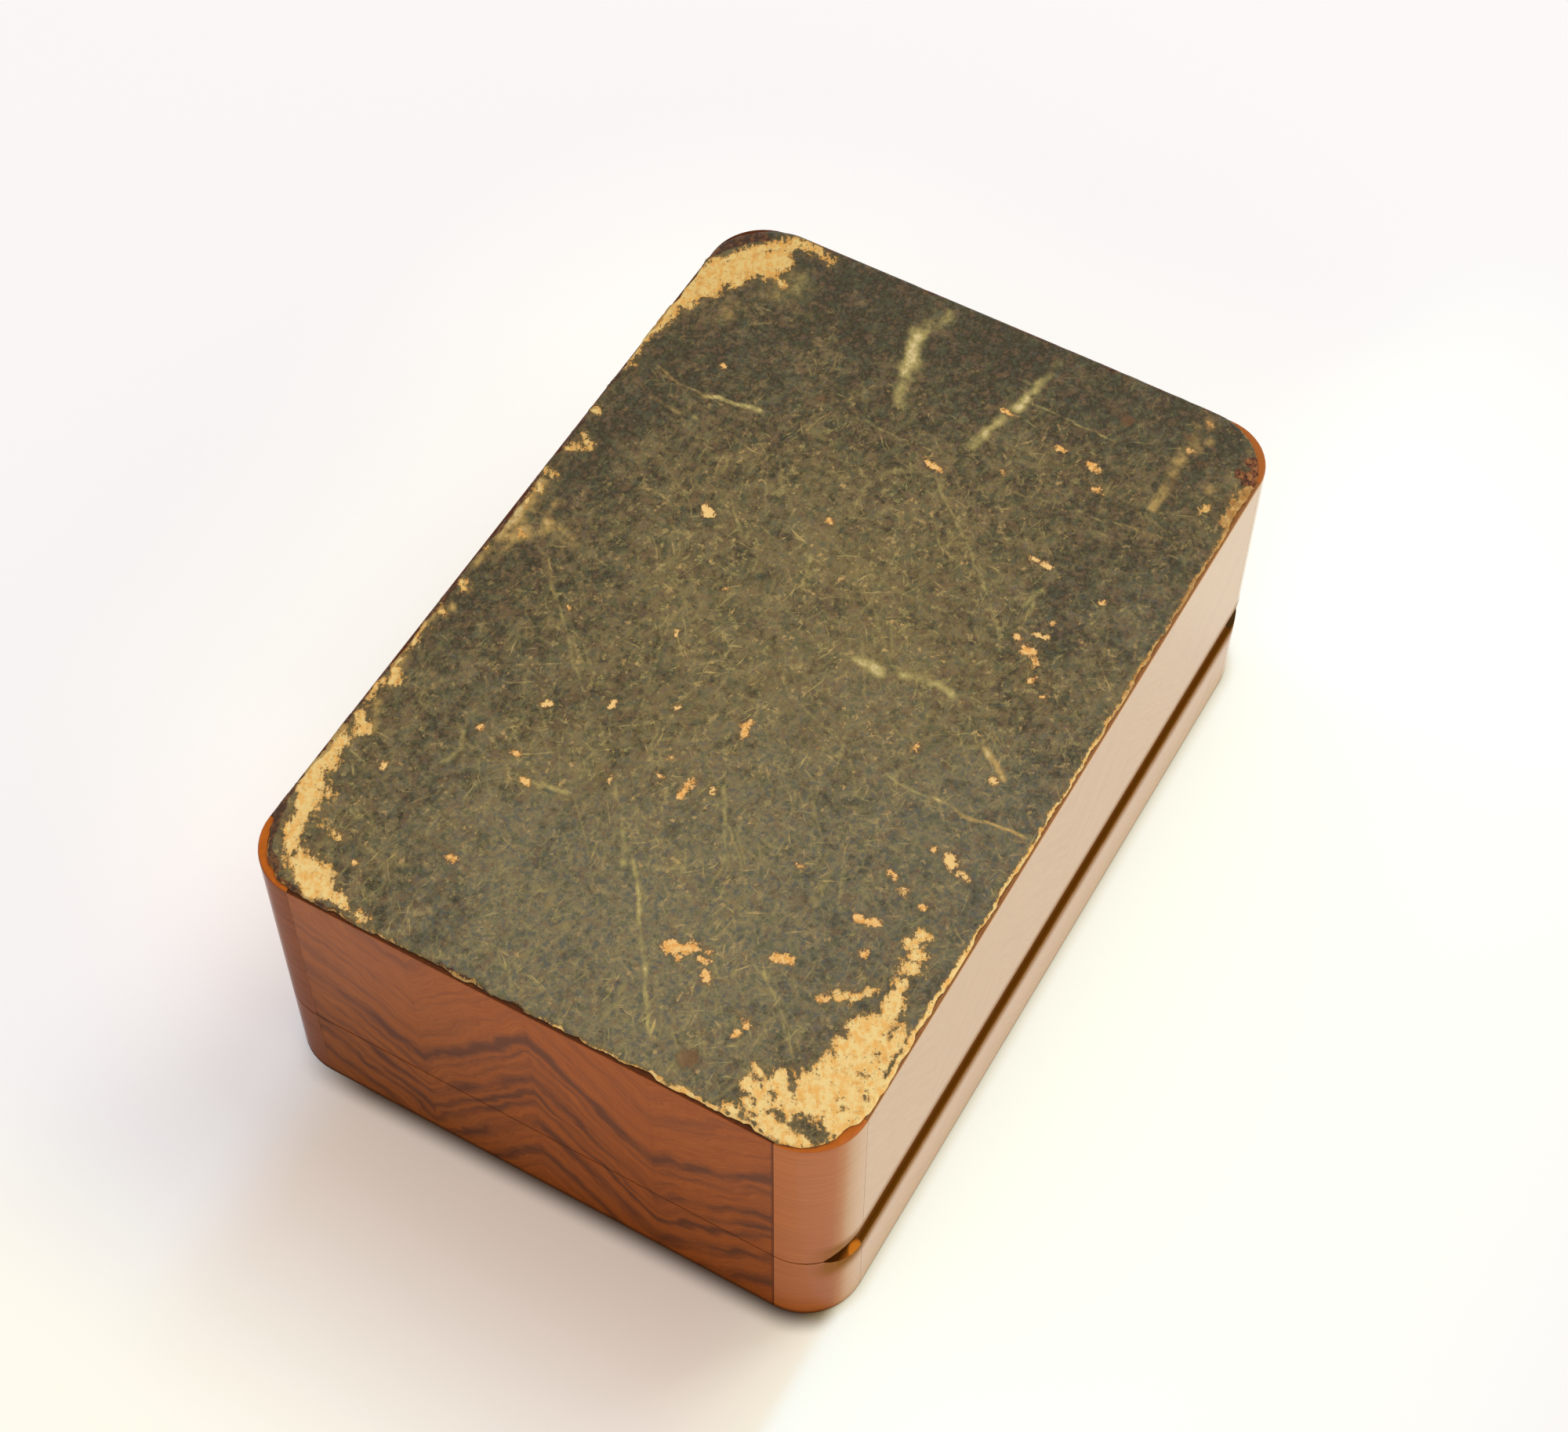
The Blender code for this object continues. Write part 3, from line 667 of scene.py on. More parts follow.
SCUFF_SHARES = (
    # the ends, the width, and how strong it is
    (21, 408, 63, 387, 16, 60), (63, 387, 119, 413, 17, 105), (119, 413, 161, 428, 13, 60),
    (21, 611, 63, 604, 7, 60), (63, 604, 105, 593, 10, 105), (105, 593, 172, 573, 9, 65),
    (84, 598, 92, 596, 10, 125), (152, 576, 164, 574, 10, 110), (56, 877, 154, 872, 12, 62),
    (63, 879, 66, 879, 14, 80), (103, 939, 104, 941, 14, 66), (43, 893, 44, 895, 12, 62),
    (16, 874, 22, 880, 10, 58), (30, 862, 50, 868, 14, 38), (91, 609, 94, 764, 2, 60),
    (248, 52, 258, 155, 3, 60), (258, 155, 245, 243, 4, 95), (231, 547, 294, 660, 3, 55),
    (294, 660, 399, 795, 3, 50), (210, 640, 181, 970, 3, 50), (266, 464, 315, 470, 4, 50),
    (388, 459, 430, 480, 4, 60), (518, 857, 539, 903, 6, 90), (595, 753, 591, 980, 3, 85),
    (805, 506, 868, 578, 4, 85), (868, 578, 959, 671, 4, 80), (686, 557, 760, 619, 4, 55),
    (735, 413, 798, 485, 4, 45), (777, 289, 769, 361, 4, 90), (532, 103, 651, 279, 4, 50),
    (847, 764, 917, 867, 3, 55), (315, 789, 343, 800, 5, 60), (308, 800, 336, 784, 4, 70),
    (336, 712, 399, 795, 3, 45), (266, 289, 392, 289, 3, 30), (200, 397, 210, 485, 4, 55),
    (486, 609, 486, 660, 9, 105), (478, 691, 474, 764, 9, 75), (483, 62, 500, 129, 16, 45),
    (288, 77, 288, 165, 6, 50), (759, 165, 777, 186, 6, 60), (777, 186, 801, 170, 6, 50),
    (798, 485, 812, 495, 9, 80), (77, 144, 70, 160, 45, 45), (133, 93, 140, 90, 32, 38),
    (455, 26, 546, 31, 15, 45), (235, 505, 262, 470, 9, 40), (225, 560, 270, 580, 9, 35),
    (440, 690, 470, 720, 8, 30), (590, 780, 610, 840, 10, 25), (250, 60, 262, 200, 5, 25),
    (750, 470, 758, 510, 4, 50), (120, 745, 165, 720, 8, 25), (905, 180, 850, 330, 5, 20),
    (560, 255, 620, 300, 9, 22), (450, 14, 520, 12, 14, 105), (512, 44, 526, 18, 16, 95),
    (486, 70, 502, 73, 12, 70), (456, 64, 464, 62, 10, 65), (548, 18, 572, 17, 9, 70),
    (628, 22, 634, 24, 9, 70), (650, 10, 682, 8, 8, 65), (712, 13, 736, 20, 12, 60),
    (770, 30, 800, 50, 11, 45),
)

TONE_SHARES = (
    # along, across, reach, how olive and light
    (10, 160, 170, -30), (10, 400, 190, -38), (10, 640, 190, -33), (60, 900, 150, -22),
    (200, 60, 150, -30), (330, 10, 120, -30), (450, 10, 120, -26), (600, 10, 120, -26),
    (750, 20, 100, -14), (500, 550, 280, 20), (760, 560, 250, 24), (930, 620, 260, 38),
    (250, 860, 110, -12), (330, 470, 200, 10), (1000, 250, 120, -6), (560, 800, 200, 18),
    (850, 200, 200, 8), (200, 300, 200, -10),
)

COOL_SHARES = (
    # along, across, reach, how cool and grey
    (930, 450, 300, 80), (640, 950, 260, 90), (300, 960, 120, 35), (850, 700, 260, 55),
    (560, 520, 160, 20),
)

BULGE_SHARES = (
    # along, across, reach, how far the edge swells out in hundredths of a millimetre
    (990, 930, 45, 55), (970, 968, 30, 30), (905, 1000, 60, 30), (990, 60, 50, 25),
    (20, 30, 130, 26), (200, 0, 150, 12), (0, 300, 250, 17), (0, 650, 250, 17),
)

CHIP_SHARES = (
    # along, across, radius
    (60, 990, 19), (72, 972, 9), (46, 972, 15), (64, 964, 10),
)

OUTSIDE = -9.0
SCRATCHES = 620
SCRATCH_SEED = 11
SCRATCH_ANGLES = (0.3, 1.0, 1.7, 2.4, 3.0)


def lattice(x, y, seed):
    """Smooth noise from about -1 to 1, one cell per unit."""
    rng = np.random.default_rng(seed)
    turns = rng.random((64, 64)) * 2 * math.pi
    gx, gy = np.cos(turns), np.sin(turns)
    i, j = np.floor(x).astype(int), np.floor(y).astype(int)
    fx, fy = x - i, y - j
    total = 0
    for di in (0, 1):
        for dj in (0, 1):
            a, b = (i + di) % 64, (j + dj) % 64
            slope = gx[a, b] * (fx - di) + gy[a, b] * (fy - dj)
            wx = 1 - np.abs(fx - di)
            wy = 1 - np.abs(fy - dj)
            total = total + slope * wx * wx * (3 - 2 * wx) * wy * wy * (3 - 2 * wy)
    return total * 1.5


def fractal(x, y, size, seed, octaves=4, rough=0.55):
    total, level = 0, 1.0
    for octave in range(octaves):
        part = lattice(x / size + 13.7 * octave, y / size + 5.3 * octave, seed + octave)
        total = total + part * level
        size /= 2.1
        level *= rough
    return total


def segment_distance(x, y, ax, ay, bx, by):
    dx, dy = bx - ax, by - ay
    length = dx * dx + dy * dy
    share = np.clip(((x - ax) * dx + (y - ay) * dy) / length, 0, 1) if length else 0 * x
    return np.hypot(x - ax - share * dx, y - ay - share * dy)


class Marks:
    """Distances over the base, in millimetres, to marks that are given as shares."""

    def __init__(self, x, y):
        low, high = CAD_BOX
        self.low = (low.x * MM, low.y * MM)
        self.size = ((high.x - low.x) * MM, (high.y - low.y) * MM)
        self.x, self.y = x * MM, y * MM
        self.bend_x = fractal(self.x, self.y, 5.0, 31, 3) * 0.5
        self.bend_y = fractal(self.x, self.y, 5.0, 41, 3) * 0.5

    def place(self, along, across):
        return (
            self.low[0] + self.size[0] * along / 1000,
            self.low[1] + self.size[1] * across / 1000,
        )

    def reach(self, share):
        return self.size[1] * share / 1000

    def away(self, ends):
        a, b = self.place(*ends[:2]), self.place(*ends[-2:])
        return segment_distance(self.x + self.bend_x, self.y + self.bend_y, *a, *b)

    def inside(self, rows):
        """How deep each place lies in the nearest mark. Below 0 is outside."""
        depth = np.full(self.x.shape, OUTSIDE)
        for *ends, radius in rows:
            depth = np.maximum(depth, self.reach(radius) - self.away(ends))
        return depth

    def hills(self, rows):
        """The sum of smooth hills, each a hundredth of its level high."""
        total = 0 * self.x
        for along, across, reach, level in rows:
            a = self.place(along, across)
            away = np.hypot(self.x - a[0], self.y - a[1]) / self.reach(reach)
            total = total + level / 100 * np.exp(-away * away)
        return total


def outline_distance(x, y, half, radius):
    """How far each place lies inside the rounded outline, and the way out from it."""
    qx, qy = np.abs(x) - (half.x - radius), np.abs(y) - (half.y - radius)
    cx, cy = np.maximum(qx, 0), np.maximum(qy, 0)
    long = np.hypot(cx, cy)
    inside = radius - long - np.minimum(np.maximum(qx, qy), 0)
    corner = long > 1e-9
    nx = np.where(corner, cx / np.maximum(long, 1e-9), qx > qy)
    ny = np.where(corner, cy / np.maximum(long, 1e-9), qx <= qy)
    return inside, nx * np.sign(x), ny * np.sign(y)


def cover_grid(half):
    """Places of a grid that fills the rounded outline, rows across the box."""
    r = COVER_RADIUS
    turns = np.linspace(0, math.pi / 2, CORNER_ROWS, endpoint=False)
    edge = half.y - r * (1 - np.cos(turns))
    inner = half.y - r
    count = int(2 * inner / COVER_STEP) + 1
    rows = np.concatenate([-edge, np.linspace(-inner, inner, count), edge[::-1]])
    columns = np.linspace(-1, 1, int(2 * half.x / COVER_STEP))
    past = np.maximum(np.abs(rows) - inner, 0)
    reach = half.x - r + np.sqrt(r * r - past * past)
    return columns[None, :] * reach[:, None], np.repeat(rows[:, None], len(columns), 1)


def base_cover():
    """The worn leather paper, with what happened to each place on it as attributes."""
    low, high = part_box("case_base_cover")
    half, middle = (high - low) / 2, (high + low) / 2
    x, y = cover_grid(half)
    inside, nx, ny = outline_distance(x, y, half, COVER_RADIUS)
    marks = Marks(x + middle.x, y + middle.y)
    mx, my = marks.x, marks.y
    fringe = fractal(mx, my, 2.2, 3, 4, 0.62)
    worn = marks.inside(PATCH_SHARES) + fringe * 0.55
    worn = np.minimum(worn, 0.5 - (marks.inside(HOLE_SHARES) + fringe * 0.3) * 1.5)
    worn = np.maximum(worn, bare_edges(marks, inside * MM))
    spots = np.full(x.shape, OUTSIDE)
    tint = 0 * x
    for *ends, radius, shade in SPOT_SHARES:
        depth = marks.reach(radius) - marks.away(ends)
        tint = np.where(depth > spots, shade, tint)
        spots = np.maximum(spots, depth)
    spots = spots + fractal(mx, my, 0.9, 17, 3) * 0.22
    scuff = 0 * x
    patchy = 0.75 + 0.5 * fractal(mx, my, 1.6, 23, 3)
    for *ends, width, level in SCUFF_SHARES:
        away = marks.away(ends) / max(marks.reach(width), 0.2)
        scuff = np.maximum(scuff, level / 100 * np.exp(-away * away) * patchy)
    tone = 0.45 + marks.hills(TONE_SHARES) + 0.12 * fractal(mx, my, 9.0, 53, 3)
    cool = marks.hills(COOL_SHARES) + 0.2 * fractal(mx, my, 14.0, 59, 3)
    scuff = np.maximum(scuff, random_scratches(marks, tone))
    chips = marks.inside(CHIP_SHARES) + fringe * 0.5
    wander = EDGE_WANDER * np.clip(0.45 + fractal(mx, my, 3.0, 71, 4), 0, 1.6)
    wander = wander * np.interp(mx, (-50, -44), (0.15, 1)) - marks.hills(BULGE_SHARES) / MM
    pull = np.clip(1 - inside / 0.002, 0, 1) ** 2 * wander
    x = np.clip(x - nx * pull, -half.x - EDGE_SPARE, half.x + EDGE_SPARE)
    y = np.clip(y - ny * pull, -half.y - EDGE_SPARE, half.y + EDGE_SPARE)
    rounding = np.clip(1 - inside / EDGE_ROUNDING, 0, 1) ** 2 * EDGE_ROUNDING * 0.6
    thin = 0.00009 * np.clip(worn / 0.6, 0, 1) + 0.00007 * np.clip(spots / 0.3, 0, 1)
    thin = thin + 0.00030 * np.clip(chips / 0.3 + 0.3, 0, 1)
    waves = 0.000012 * (1 + fractal(mx, my, 6.0, 91, 3))
    thickness = high.z - low.z
    z = high.z - np.minimum(rounding + thin + np.clip(waves, 0, 1), thickness * 0.85)
    made = grid_piece("base_cover", x + middle.x, y + middle.y, z, low.z)
    count = x.size
    rim = marks.inside(RIM_SHARES) + 0.15 * fringe
    for name, values in (("worn", worn), ("spots", spots), ("tint", tint),
                         ("scuff", scuff), ("tone", tone), ("cool", cool),
                         ("chips", chips), ("rim", rim)):
        layer = made.data.attributes.new(name, "FLOAT", "POINT")
        full = np.zeros(len(made.data.vertices), np.float32)
        full[:count] = values.ravel()
        full[count:] = OUTSIDE if name in ("worn", "spots", "chips", "rim") else 0.0
        layer.data.foreach_set("value", full)
    return made


def bare_edges(marks, inside):
    """How deep each place lies in the bare strip, the bare lip or the frayed edge."""
    along = (marks.x - marks.low[0]) / marks.size[0] * 1000
    across = (marks.y - marks.low[1]) / marks.size[1] * 1000
    wobble = 1 + 0.25 * fractal(marks.x, marks.y, 1.8, 83, 3)
    strip = np.interp(along, *zip(*STRIP_SHARES)) * marks.reach(0.6) * wobble
    strip = np.where(across > 900, (strip - inside) * 2.5, OUTSIDE)
    broken = 0.35 + 1.1 * fractal(marks.x, marks.y, 2.6, 97, 3)
    lip = np.interp(across, *zip(*LIP_SHARES)) * marks.reach(0.8) * broken
    lip = np.where(along > 950, (lip - inside) * 2.5, OUTSIDE)
    frayed = (across < 100) & (along > 240) & (along < 760)
    fray = np.where(frayed, -0.34 - inside / 4.0, OUTSIDE)
    return np.maximum(np.maximum(strip, lip), fray)


def random_scratches(marks, tone):
    """Many short fine scratches, most where the paper is rubbed light."""
    rng = np.random.default_rng(SCRATCH_SEED)
    scuff = 0 * marks.x
    for _ in range(SCRATCHES):
        along, across = rng.random(2) * 1000
        length = rng.exponential(3.2) + 1.0
        turn = rng.choice([rng.uniform(0, math.pi), rng.normal(0.55, 0.35)])
        level = rng.uniform(0.12, 0.42)
        width = rng.uniform(0.14, 0.24)
        ax, ay = marks.place(along, across)
        bx, by = ax + length * math.cos(turn), ay + length * math.sin(turn)
        near = (marks.x > min(ax, bx) - 1) & (marks.x < max(ax, bx) + 1)
        near &= (marks.y > min(ay, by) - 1) & (marks.y < max(ay, by) + 1)
        if not near.any():
            continue
        x, y = marks.x[near], marks.y[near]
        away = segment_distance(x, y, ax, ay, bx, by) / width
        here = level * np.exp(-away * away) * np.clip(tone[near] + 0.2, 0.15, 1)
        scuff[near] = np.maximum(scuff[near], here)
    return scuff


def grid_piece(name, x, y, z, floor_z):
    """A closed piece: a grid of places on top, and a flat underside."""
    rows, columns = x.shape
    top = np.stack([x, y, z], -1).reshape(-1, 3)
    index = np.arange(rows * columns).reshape(rows, columns)
    rim = np.concatenate([index[0, :-1], index[:-1, -1], index[-1, :0:-1], index[:0:-1, 0]])
    under = top[rim].copy()
    under[:, 2] = floor_z
    a, b = index[:-1, :-1].ravel(), index[:-1, 1:].ravel()
    c, d = index[1:, 1:].ravel(), index[1:, :-1].ravel()
    faces = np.stack([a, b, c, d], 1).tolist()
    start, count = len(top), len(rim)
    for i in range(count):
        j = (i + 1) % count
        faces.append([int(rim[j]), int(rim[i]), start + i, start + j])
    faces.append([start + i for i in range(count)][::-1])
    mesh = bpy.data.meshes.new(name)
    mesh.from_pydata(np.concatenate([top, under]).tolist(), [], faces)
    mesh.update()
    mesh.shade_smooth()
    made = bpy.data.objects.new(name, mesh)
    bpy.context.scene.collection.objects.link(made)
    return made


def turned(where, angle, wide, long, seed):
    """Places turned about Z, then drawn in across and out along: streaky noise."""
    spin = put("ShaderNodeVectorRotate", {"Vector": where, "Angle": angle},
               rotation_type="Z_AXIS")
    return vector_math("MULTIPLY_ADD", spin.outputs[0], (1 / long, 1 / wide, 1.0),
                       (seed * 7.3, seed * 3.1, seed * 5.7))[0]


def bent(where, size, reach):
    """Places pushed about, so that streaks curl."""
    made = put("ShaderNodeTexNoise", {"Vector": where, "Scale": 1 / size, "Detail": 2.0})
    centred = vector_math("ADD", made.outputs["Color"], (-0.5, -0.5, -0.5))[0]
    return vector_math("MULTIPLY_ADD", centred, (reach, reach, 0.0), where)[0]


def rubbed_streaks(where, wide, curl, low, high):
    """Curling rubbed lines that lie in every direction."""
    curled = bent(where, 4.0, curl)
    total = 0.0
    for seed, angle in enumerate(SCRATCH_ANGLES):
        width = wide * (0.8 + 0.3 * (seed % 3))
        streak = turned(curled, angle, width, 9 * wide, seed)
        streak = noise(streak, 1.0, 2.0, 0.5)
        total = larger(total, step(streak, low, high))
    gaps = noise(where, 0.3, 4.0, 0.65)
    return times(total, step(gaps, 0.40, 0.62))


def leather_paper():
    """Dark green paper, rubbed and marked, with tan where the cover's mesh says so."""
    made, tree, shader = new_material("leather_paper")
    where, x, y, _ = places(tree)
    fine = noise(where, 2.2, 3.0, 0.6)
    finer = noise(where, 6.0, 4.0, 0.7)
    mottle = noise(bent(where, 1.5, 0.9), 1.0, 4.0, 0.6)
    blotch = noise(where, 0.35, 3.0, 0.6)
    cloud = noise(where, 0.09, 3.0, 0.6)
    tone = attribute(tree, "tone")
    cool = sway(attribute(tree, "cool"), (mottle, 1.4), (blotch, 1.0))
    chill = step(cool, -0.2, 1.1)
    rub = sway(tone, (mottle, 2.2), (fine, 1.1), (finer, 1.3), (blotch, 1.1), (cloud, 0.6))
    dark = blend(chill, (0.048, 0.039, 0.016), (0.066, 0.069, 0.049))
    light = blend(chill, (0.250, 0.192, 0.069), (0.250, 0.218, 0.112))
    paper = blend(step(rub, 0.0, 1.0), dark, light)

    # Hues in the mottling
    hue = apart(where, (11.0, 3.0), 0.9, 4.0, 0.7)
    paper = paint(paper, hue, 0.50, 0.64, 0.6, (0.200, 0.125, 0.062))
    green = inverse(step(hue, 0.36, 0.50))
    paper = blend(times(green, 0.55), paper, (0.092, 0.110, 0.054))
    plum = apart(where, (37.0, 61.0), 2.6, 3.0, 0.6)
    paper = paint(paper, plum, 0.52, 0.66, 0.45, (0.150, 0.118, 0.098))
    blue = apart(where, (53.0, 29.0), 1.4, 3.0, 0.6)
    bluish = add(0.15, times(chill, 0.6))
    paper = paint(paper, blue, 0.48, 0.66, bluish, (0.100, 0.115, 0.105))

    # Rubbed smears, dabs, streaks and specks
    smears = times(rubbed_streaks(where, 0.85, 1.6, 0.58, 0.74), add(0.25, tone))
    paper = blend(times(smears, 0.45), paper, (0.38, 0.310, 0.110))
    straw = blend(step(blotch, 0.42, 0.62), (0.48, 0.41, 0.150), (0.64, 0.47, 0.18))
    calm = inverse(times(chill, 0.5))
    dab = apart(where, (71.0, 13.0), 1.05, 4.0, 0.6)
    dab = times(step(add(dab, times(tone, 0.05)), 0.59, 0.72),
                step(finer, 0.36, 0.58), add(0.25, step(tone, 0.1, 0.6)))
    paper = blend(times(dab, calm, 0.65), paper, straw)
    streaks = times(rubbed_streaks(where, 0.42, 1.6, 0.645, 0.77), add(0.20, tone))
    paper = blend(times(streaks, 0.9), paper, straw)
    grit = noise(bent(where, 0.8, 0.5), 0.95, 3.0, 0.6)
    speck = times(step(grit, 0.63, 0.72), add(0.15, tone))
    paper = blend(times(speck, calm, 0.9), paper, (0.68, 0.46, 0.17))
    pit = apart(where, (31.0, 7.0), 1.2, 4.0, 0.65)
    paper = paint(paper, pit, 0.56, 0.70, 0.42, (0.036, 0.031, 0.018))

    # Scuffs and scratches, more golden beside the long sides
    scuff = times(attribute(tree, "scuff"), add(0.35, times(fine, 1.3)))
    golden = blend(step(magnitude(y), 22.0, 27.0), (0.46, 0.39, 0.140),
                   (0.55, 0.375, 0.120))
    paper = blend(step(scuff, 0.06, 0.8), paper, golden)
    paper = blend(step(scuff, 0.6, 1.15), paper, (0.80, 0.66, 0.34))

    # Bare tan patches with ragged edges
    comb = noise(turned(where, -0.52, 0.45, 2.2, 3), 1.0, 3.0, 0.6)
    ragged = sway(times(add(fine, -0.5), 2.2), (finer, 1.1), (comb, 1.5))
    worn_depth = attribute(tree, "worn")
    worn = step(add(worn_depth, ragged), -0.14, 0.16)
    pale = noise(turned(where, -0.52, 0.8, 1.2, 5), 1.0, 4.0, 0.7)
    dust = apart(where, (17.0, 23.0), 1.5, 4.0, 0.65)
    crumb = apart(where, (5.0, 41.0), 2.3, 3.0, 0.65)
    crumb = add(crumb, times(worn_depth, -0.05))
    tan = blend(step(pale, 0.38, 0.58), (0.97, 0.58, 0.170), (1.0, 0.79, 0.34))
    tan = paint(tan, dust, 0.54, 0.68, 0.5, (0.68, 0.34, 0.090))
    tan = paint(tan, finer, 0.60, 0.70, 0.45, (0.36, 0.20, 0.07))
    tan = paint(tan, crumb, 0.585, 0.64, 0.8, (0.20, 0.145, 0.058))
    rust = step(add(worn_depth, times(ragged, 0.6)), 0.0, 0.5)
    tan = blend(times(inverse(rust), 0.5), tan, (0.60, 0.27, 0.060))
    dull = blend(step(add(x, y), -75.0, 80.0), (0.86, 0.82, 0.72), (1.0, 1.0, 1.0))
    tan = blend(1.0, tan, dull, "MULTIPLY")
    soiled = times(step(y, 32.2, 33.2),
                   inverse(step(x, -16.0, 0.0)),
                   add(0.35, times(step(hue, 0.4, 0.6), 0.5)))
    tan = blend(soiled, tan, (0.38, 0.185, 0.055))
    halo = add(worn_depth, times(ragged, 0.7))
    paper = paint(paper, halo, -0.9, 0.1, 0.5, (0.22, 0.155, 0.050))
    paper = blend(worn, paper, tan)

    # Lone spots
    soft = sway(attribute(tree, "spots"), (fine, 1.4), (finer, 0.8))
    paper = paint(paper, soft, -0.55, 0.0, 0.45, (0.13, 0.080, 0.028))
    tint = attribute(tree, "tint")
    spot_tan = blend(step(fine, 0.46, 0.58), (0.92, 0.48, 0.120), (1.0, 0.66, 0.25))
    spot_tan = blend(step(tint, 0.0, 1.0), spot_tan, (1.0, 0.71, 0.28))
    spot_tan = blend(step(soft, -0.05, 0.22), (0.60, 0.31, 0.090), spot_tan)
    red = step(tint, 0.0, -1.0)
    spot_tan = blend(red, spot_tan, (0.23, 0.105, 0.046))
    spot = times(step(soft, -0.16, 0.16), inverse(times(red, 0.55)))
    paper = blend(spot, paper, spot_tan)

    # Dark rims of painted shade along the edges, and chips down to the wood
    rim = step(add(attribute(tree, "rim"), times(ragged, 0.12)), -0.05, 0.12)
    rim = times(rim, math_node("SUBTRACT", 0.9, times(worn, 0.4)))
    rim_shade = blend(step(dust, 0.46, 0.60), (0.058, 0.024, 0.014), (0.185, 0.078, 0.028))
    paper = blend(rim, paper, rim_shade)
    chip = step(add(attribute(tree, "chips"), times(ragged, 0.3)), -0.08, 0.1)
    broken = blend(step(fine, 0.42, 0.58), (0.26, 0.085, 0.026), (0.070, 0.026, 0.013))
    broken = blend(step(dust, 0.50, 0.62), broken, (0.42, 0.180, 0.050))
    paper = blend(chip, paper, broken)

    rough = add(0.44, times(worn, 0.35), times(fine, 0.16))
    feed(shader, {"Base Color": paper, "Roughness": rough, "Specular IOR Level": 0.25})
    grain = add(times(fine, 0.6), times(finer, 0.4), times(worn, -0.9))
    bump(shader, grain, 0.00005, 0.7)
    return made


def camera():
    data = bpy.data.cameras.new("camera")
    data.sensor_fit = "HORIZONTAL"
    data.sensor_width = CAMERA_SENSOR
    data.lens = CAMERA_LENS
    data.clip_start = 0.01
    data.clip_end = 100.0
    made = bpy.data.objects.new("camera", data)
    look = Vector(CAMERA_LOOK).to_track_quat("-Z", "Y")
    made.rotation_mode = "QUATERNION"
    made.rotation_quaternion = look @ Quaternion((0, 0, 1), CAMERA_LEAN)
    made.location = CAMERA_PLACE
    bpy.context.scene.collection.objects.link(made)
    bpy.context.scene.camera = made


def floor():
    bm = bmesh.new()
    bmesh.ops.create_grid(bm, x_segments=1, y_segments=1, size=FLOOR_HALF)
    mesh = bpy.data.meshes.new("floor")
    bm.to_mesh(mesh)
    bm.free()
    made = bpy.data.objects.new("floor", mesh)
    made.location = (0, 0, FLOOR_LOW)
    bpy.context.scene.collection.objects.link(made)
    material, tree, shader = new_material("floor")
    _, x, y, _ = places(tree)
    gaps = []
    for place, half in ((x, CAD_BOX[1].x), (y, CAD_BOX[1].y)):
        gap = math_node("SUBTRACT", magnitude(place), half * MM - CORNER_RADIUS * MM)
        gaps.append(larger(gap, 0.0))
    away = vector_math("LENGTH", vector(*gaps, 0.0))["Value"]
    away = math_node("SUBTRACT", away, CORNER_RADIUS * MM)

    # Painted shadow on the sheet: darker and warmer in front of the short end, near black
    # at the box's foot there, and yellow-brown beside the hinged side.
    ends = times(step(y, *END_FROM_Y), inverse(step(y, *END_TO_Y)))
    end = step(x, *END_X)
    near = times(inverse(step(away, -0.4, CONTACT_REACH)), end, ends)
    front = times(inverse(step(x, *FRONT_X)), end, ends)
    beside = times(inverse(step(away, -0.3, 1.5)), step(y, *HINGED_Y), 0.4)
    sheet_with_shadows = blend(front, SHEET, SHEET_FRONT_SHADOW)
    sheet_with_shadows = blend(near, sheet_with_shadows, SHEET_CONTACT_SHADOW)
    sheet_with_shadows = blend(beside, sheet_with_shadows, SHEET_HINGED_SHADE)

    # Painted light: an emission lift beside the hinged side, as if reflected off its
    # polish, and in the box's shade beyond the front, past the far end and beyond the short
    # end.
    spread = times(larger(away, 0.0), 1 / GLEAM_REACH)
    gleam = times(inverse(step(spread, 0.0, 1.0)), step(y, *GLEAM_Y), GLEAM)
    left = vector_math("DISTANCE", vector(x, y, 0.0), LEFT_PLACE)["Value"]
    left = times(inverse(step(left, 0.0, LEFT_REACH)), inverse(front))
    past = larger(step(times(y, -1.0), *FAR_Y), step(times(x, -1.0), *FAR_X))
    far = times(inverse(step(away, FAR_REACH * 0.2, FAR_REACH)), past,
                inverse(step(x, *FAR_TO_X)))
    below = times(step(x, *BELOW_X), inverse(step(x, *BELOW_TO_X)),
                  inverse(step(y, *BELOW_TO_Y)))
    parts = []
    for cool, *tints in zip(LIFT_TINT, GLEAM_TINT, LEFT_PAINTED_LIGHT, FAR_PAINTED_LIGHT, BELOW_PAINTED_LIGHT):
        lift = blend(front, (cool * FLOOR_LIFT,) * 3, (FLOOR_LIFT,) * 3)
        for share, tint in zip((gleam, left, far, below), tints):
            lift = add(lift, times(share, tint))
        parts.append(lift)
    # The emission is dimmed where the painted contact shadow lies.
    dim = inverse(larger(near, beside))
    glow = put("ShaderNodeVectorMath", {0: vector(*parts), "Scale": dim},
               operation="SCALE").outputs[0]
    path = put("ShaderNodeLightPath", {}, tree).outputs
    seen = add(path["Is Camera Ray"], path["Is Glossy Ray"], path["Is Transmission Ray"])
    feed(shader, {"Base Color": sheet_with_shadows, "Roughness": 0.9, "Specular IOR Level": 0.0,
                  "Emission Color": glow,
                  "Emission Strength": smaller(seen, 1.0)})
    mesh.materials.append(material)


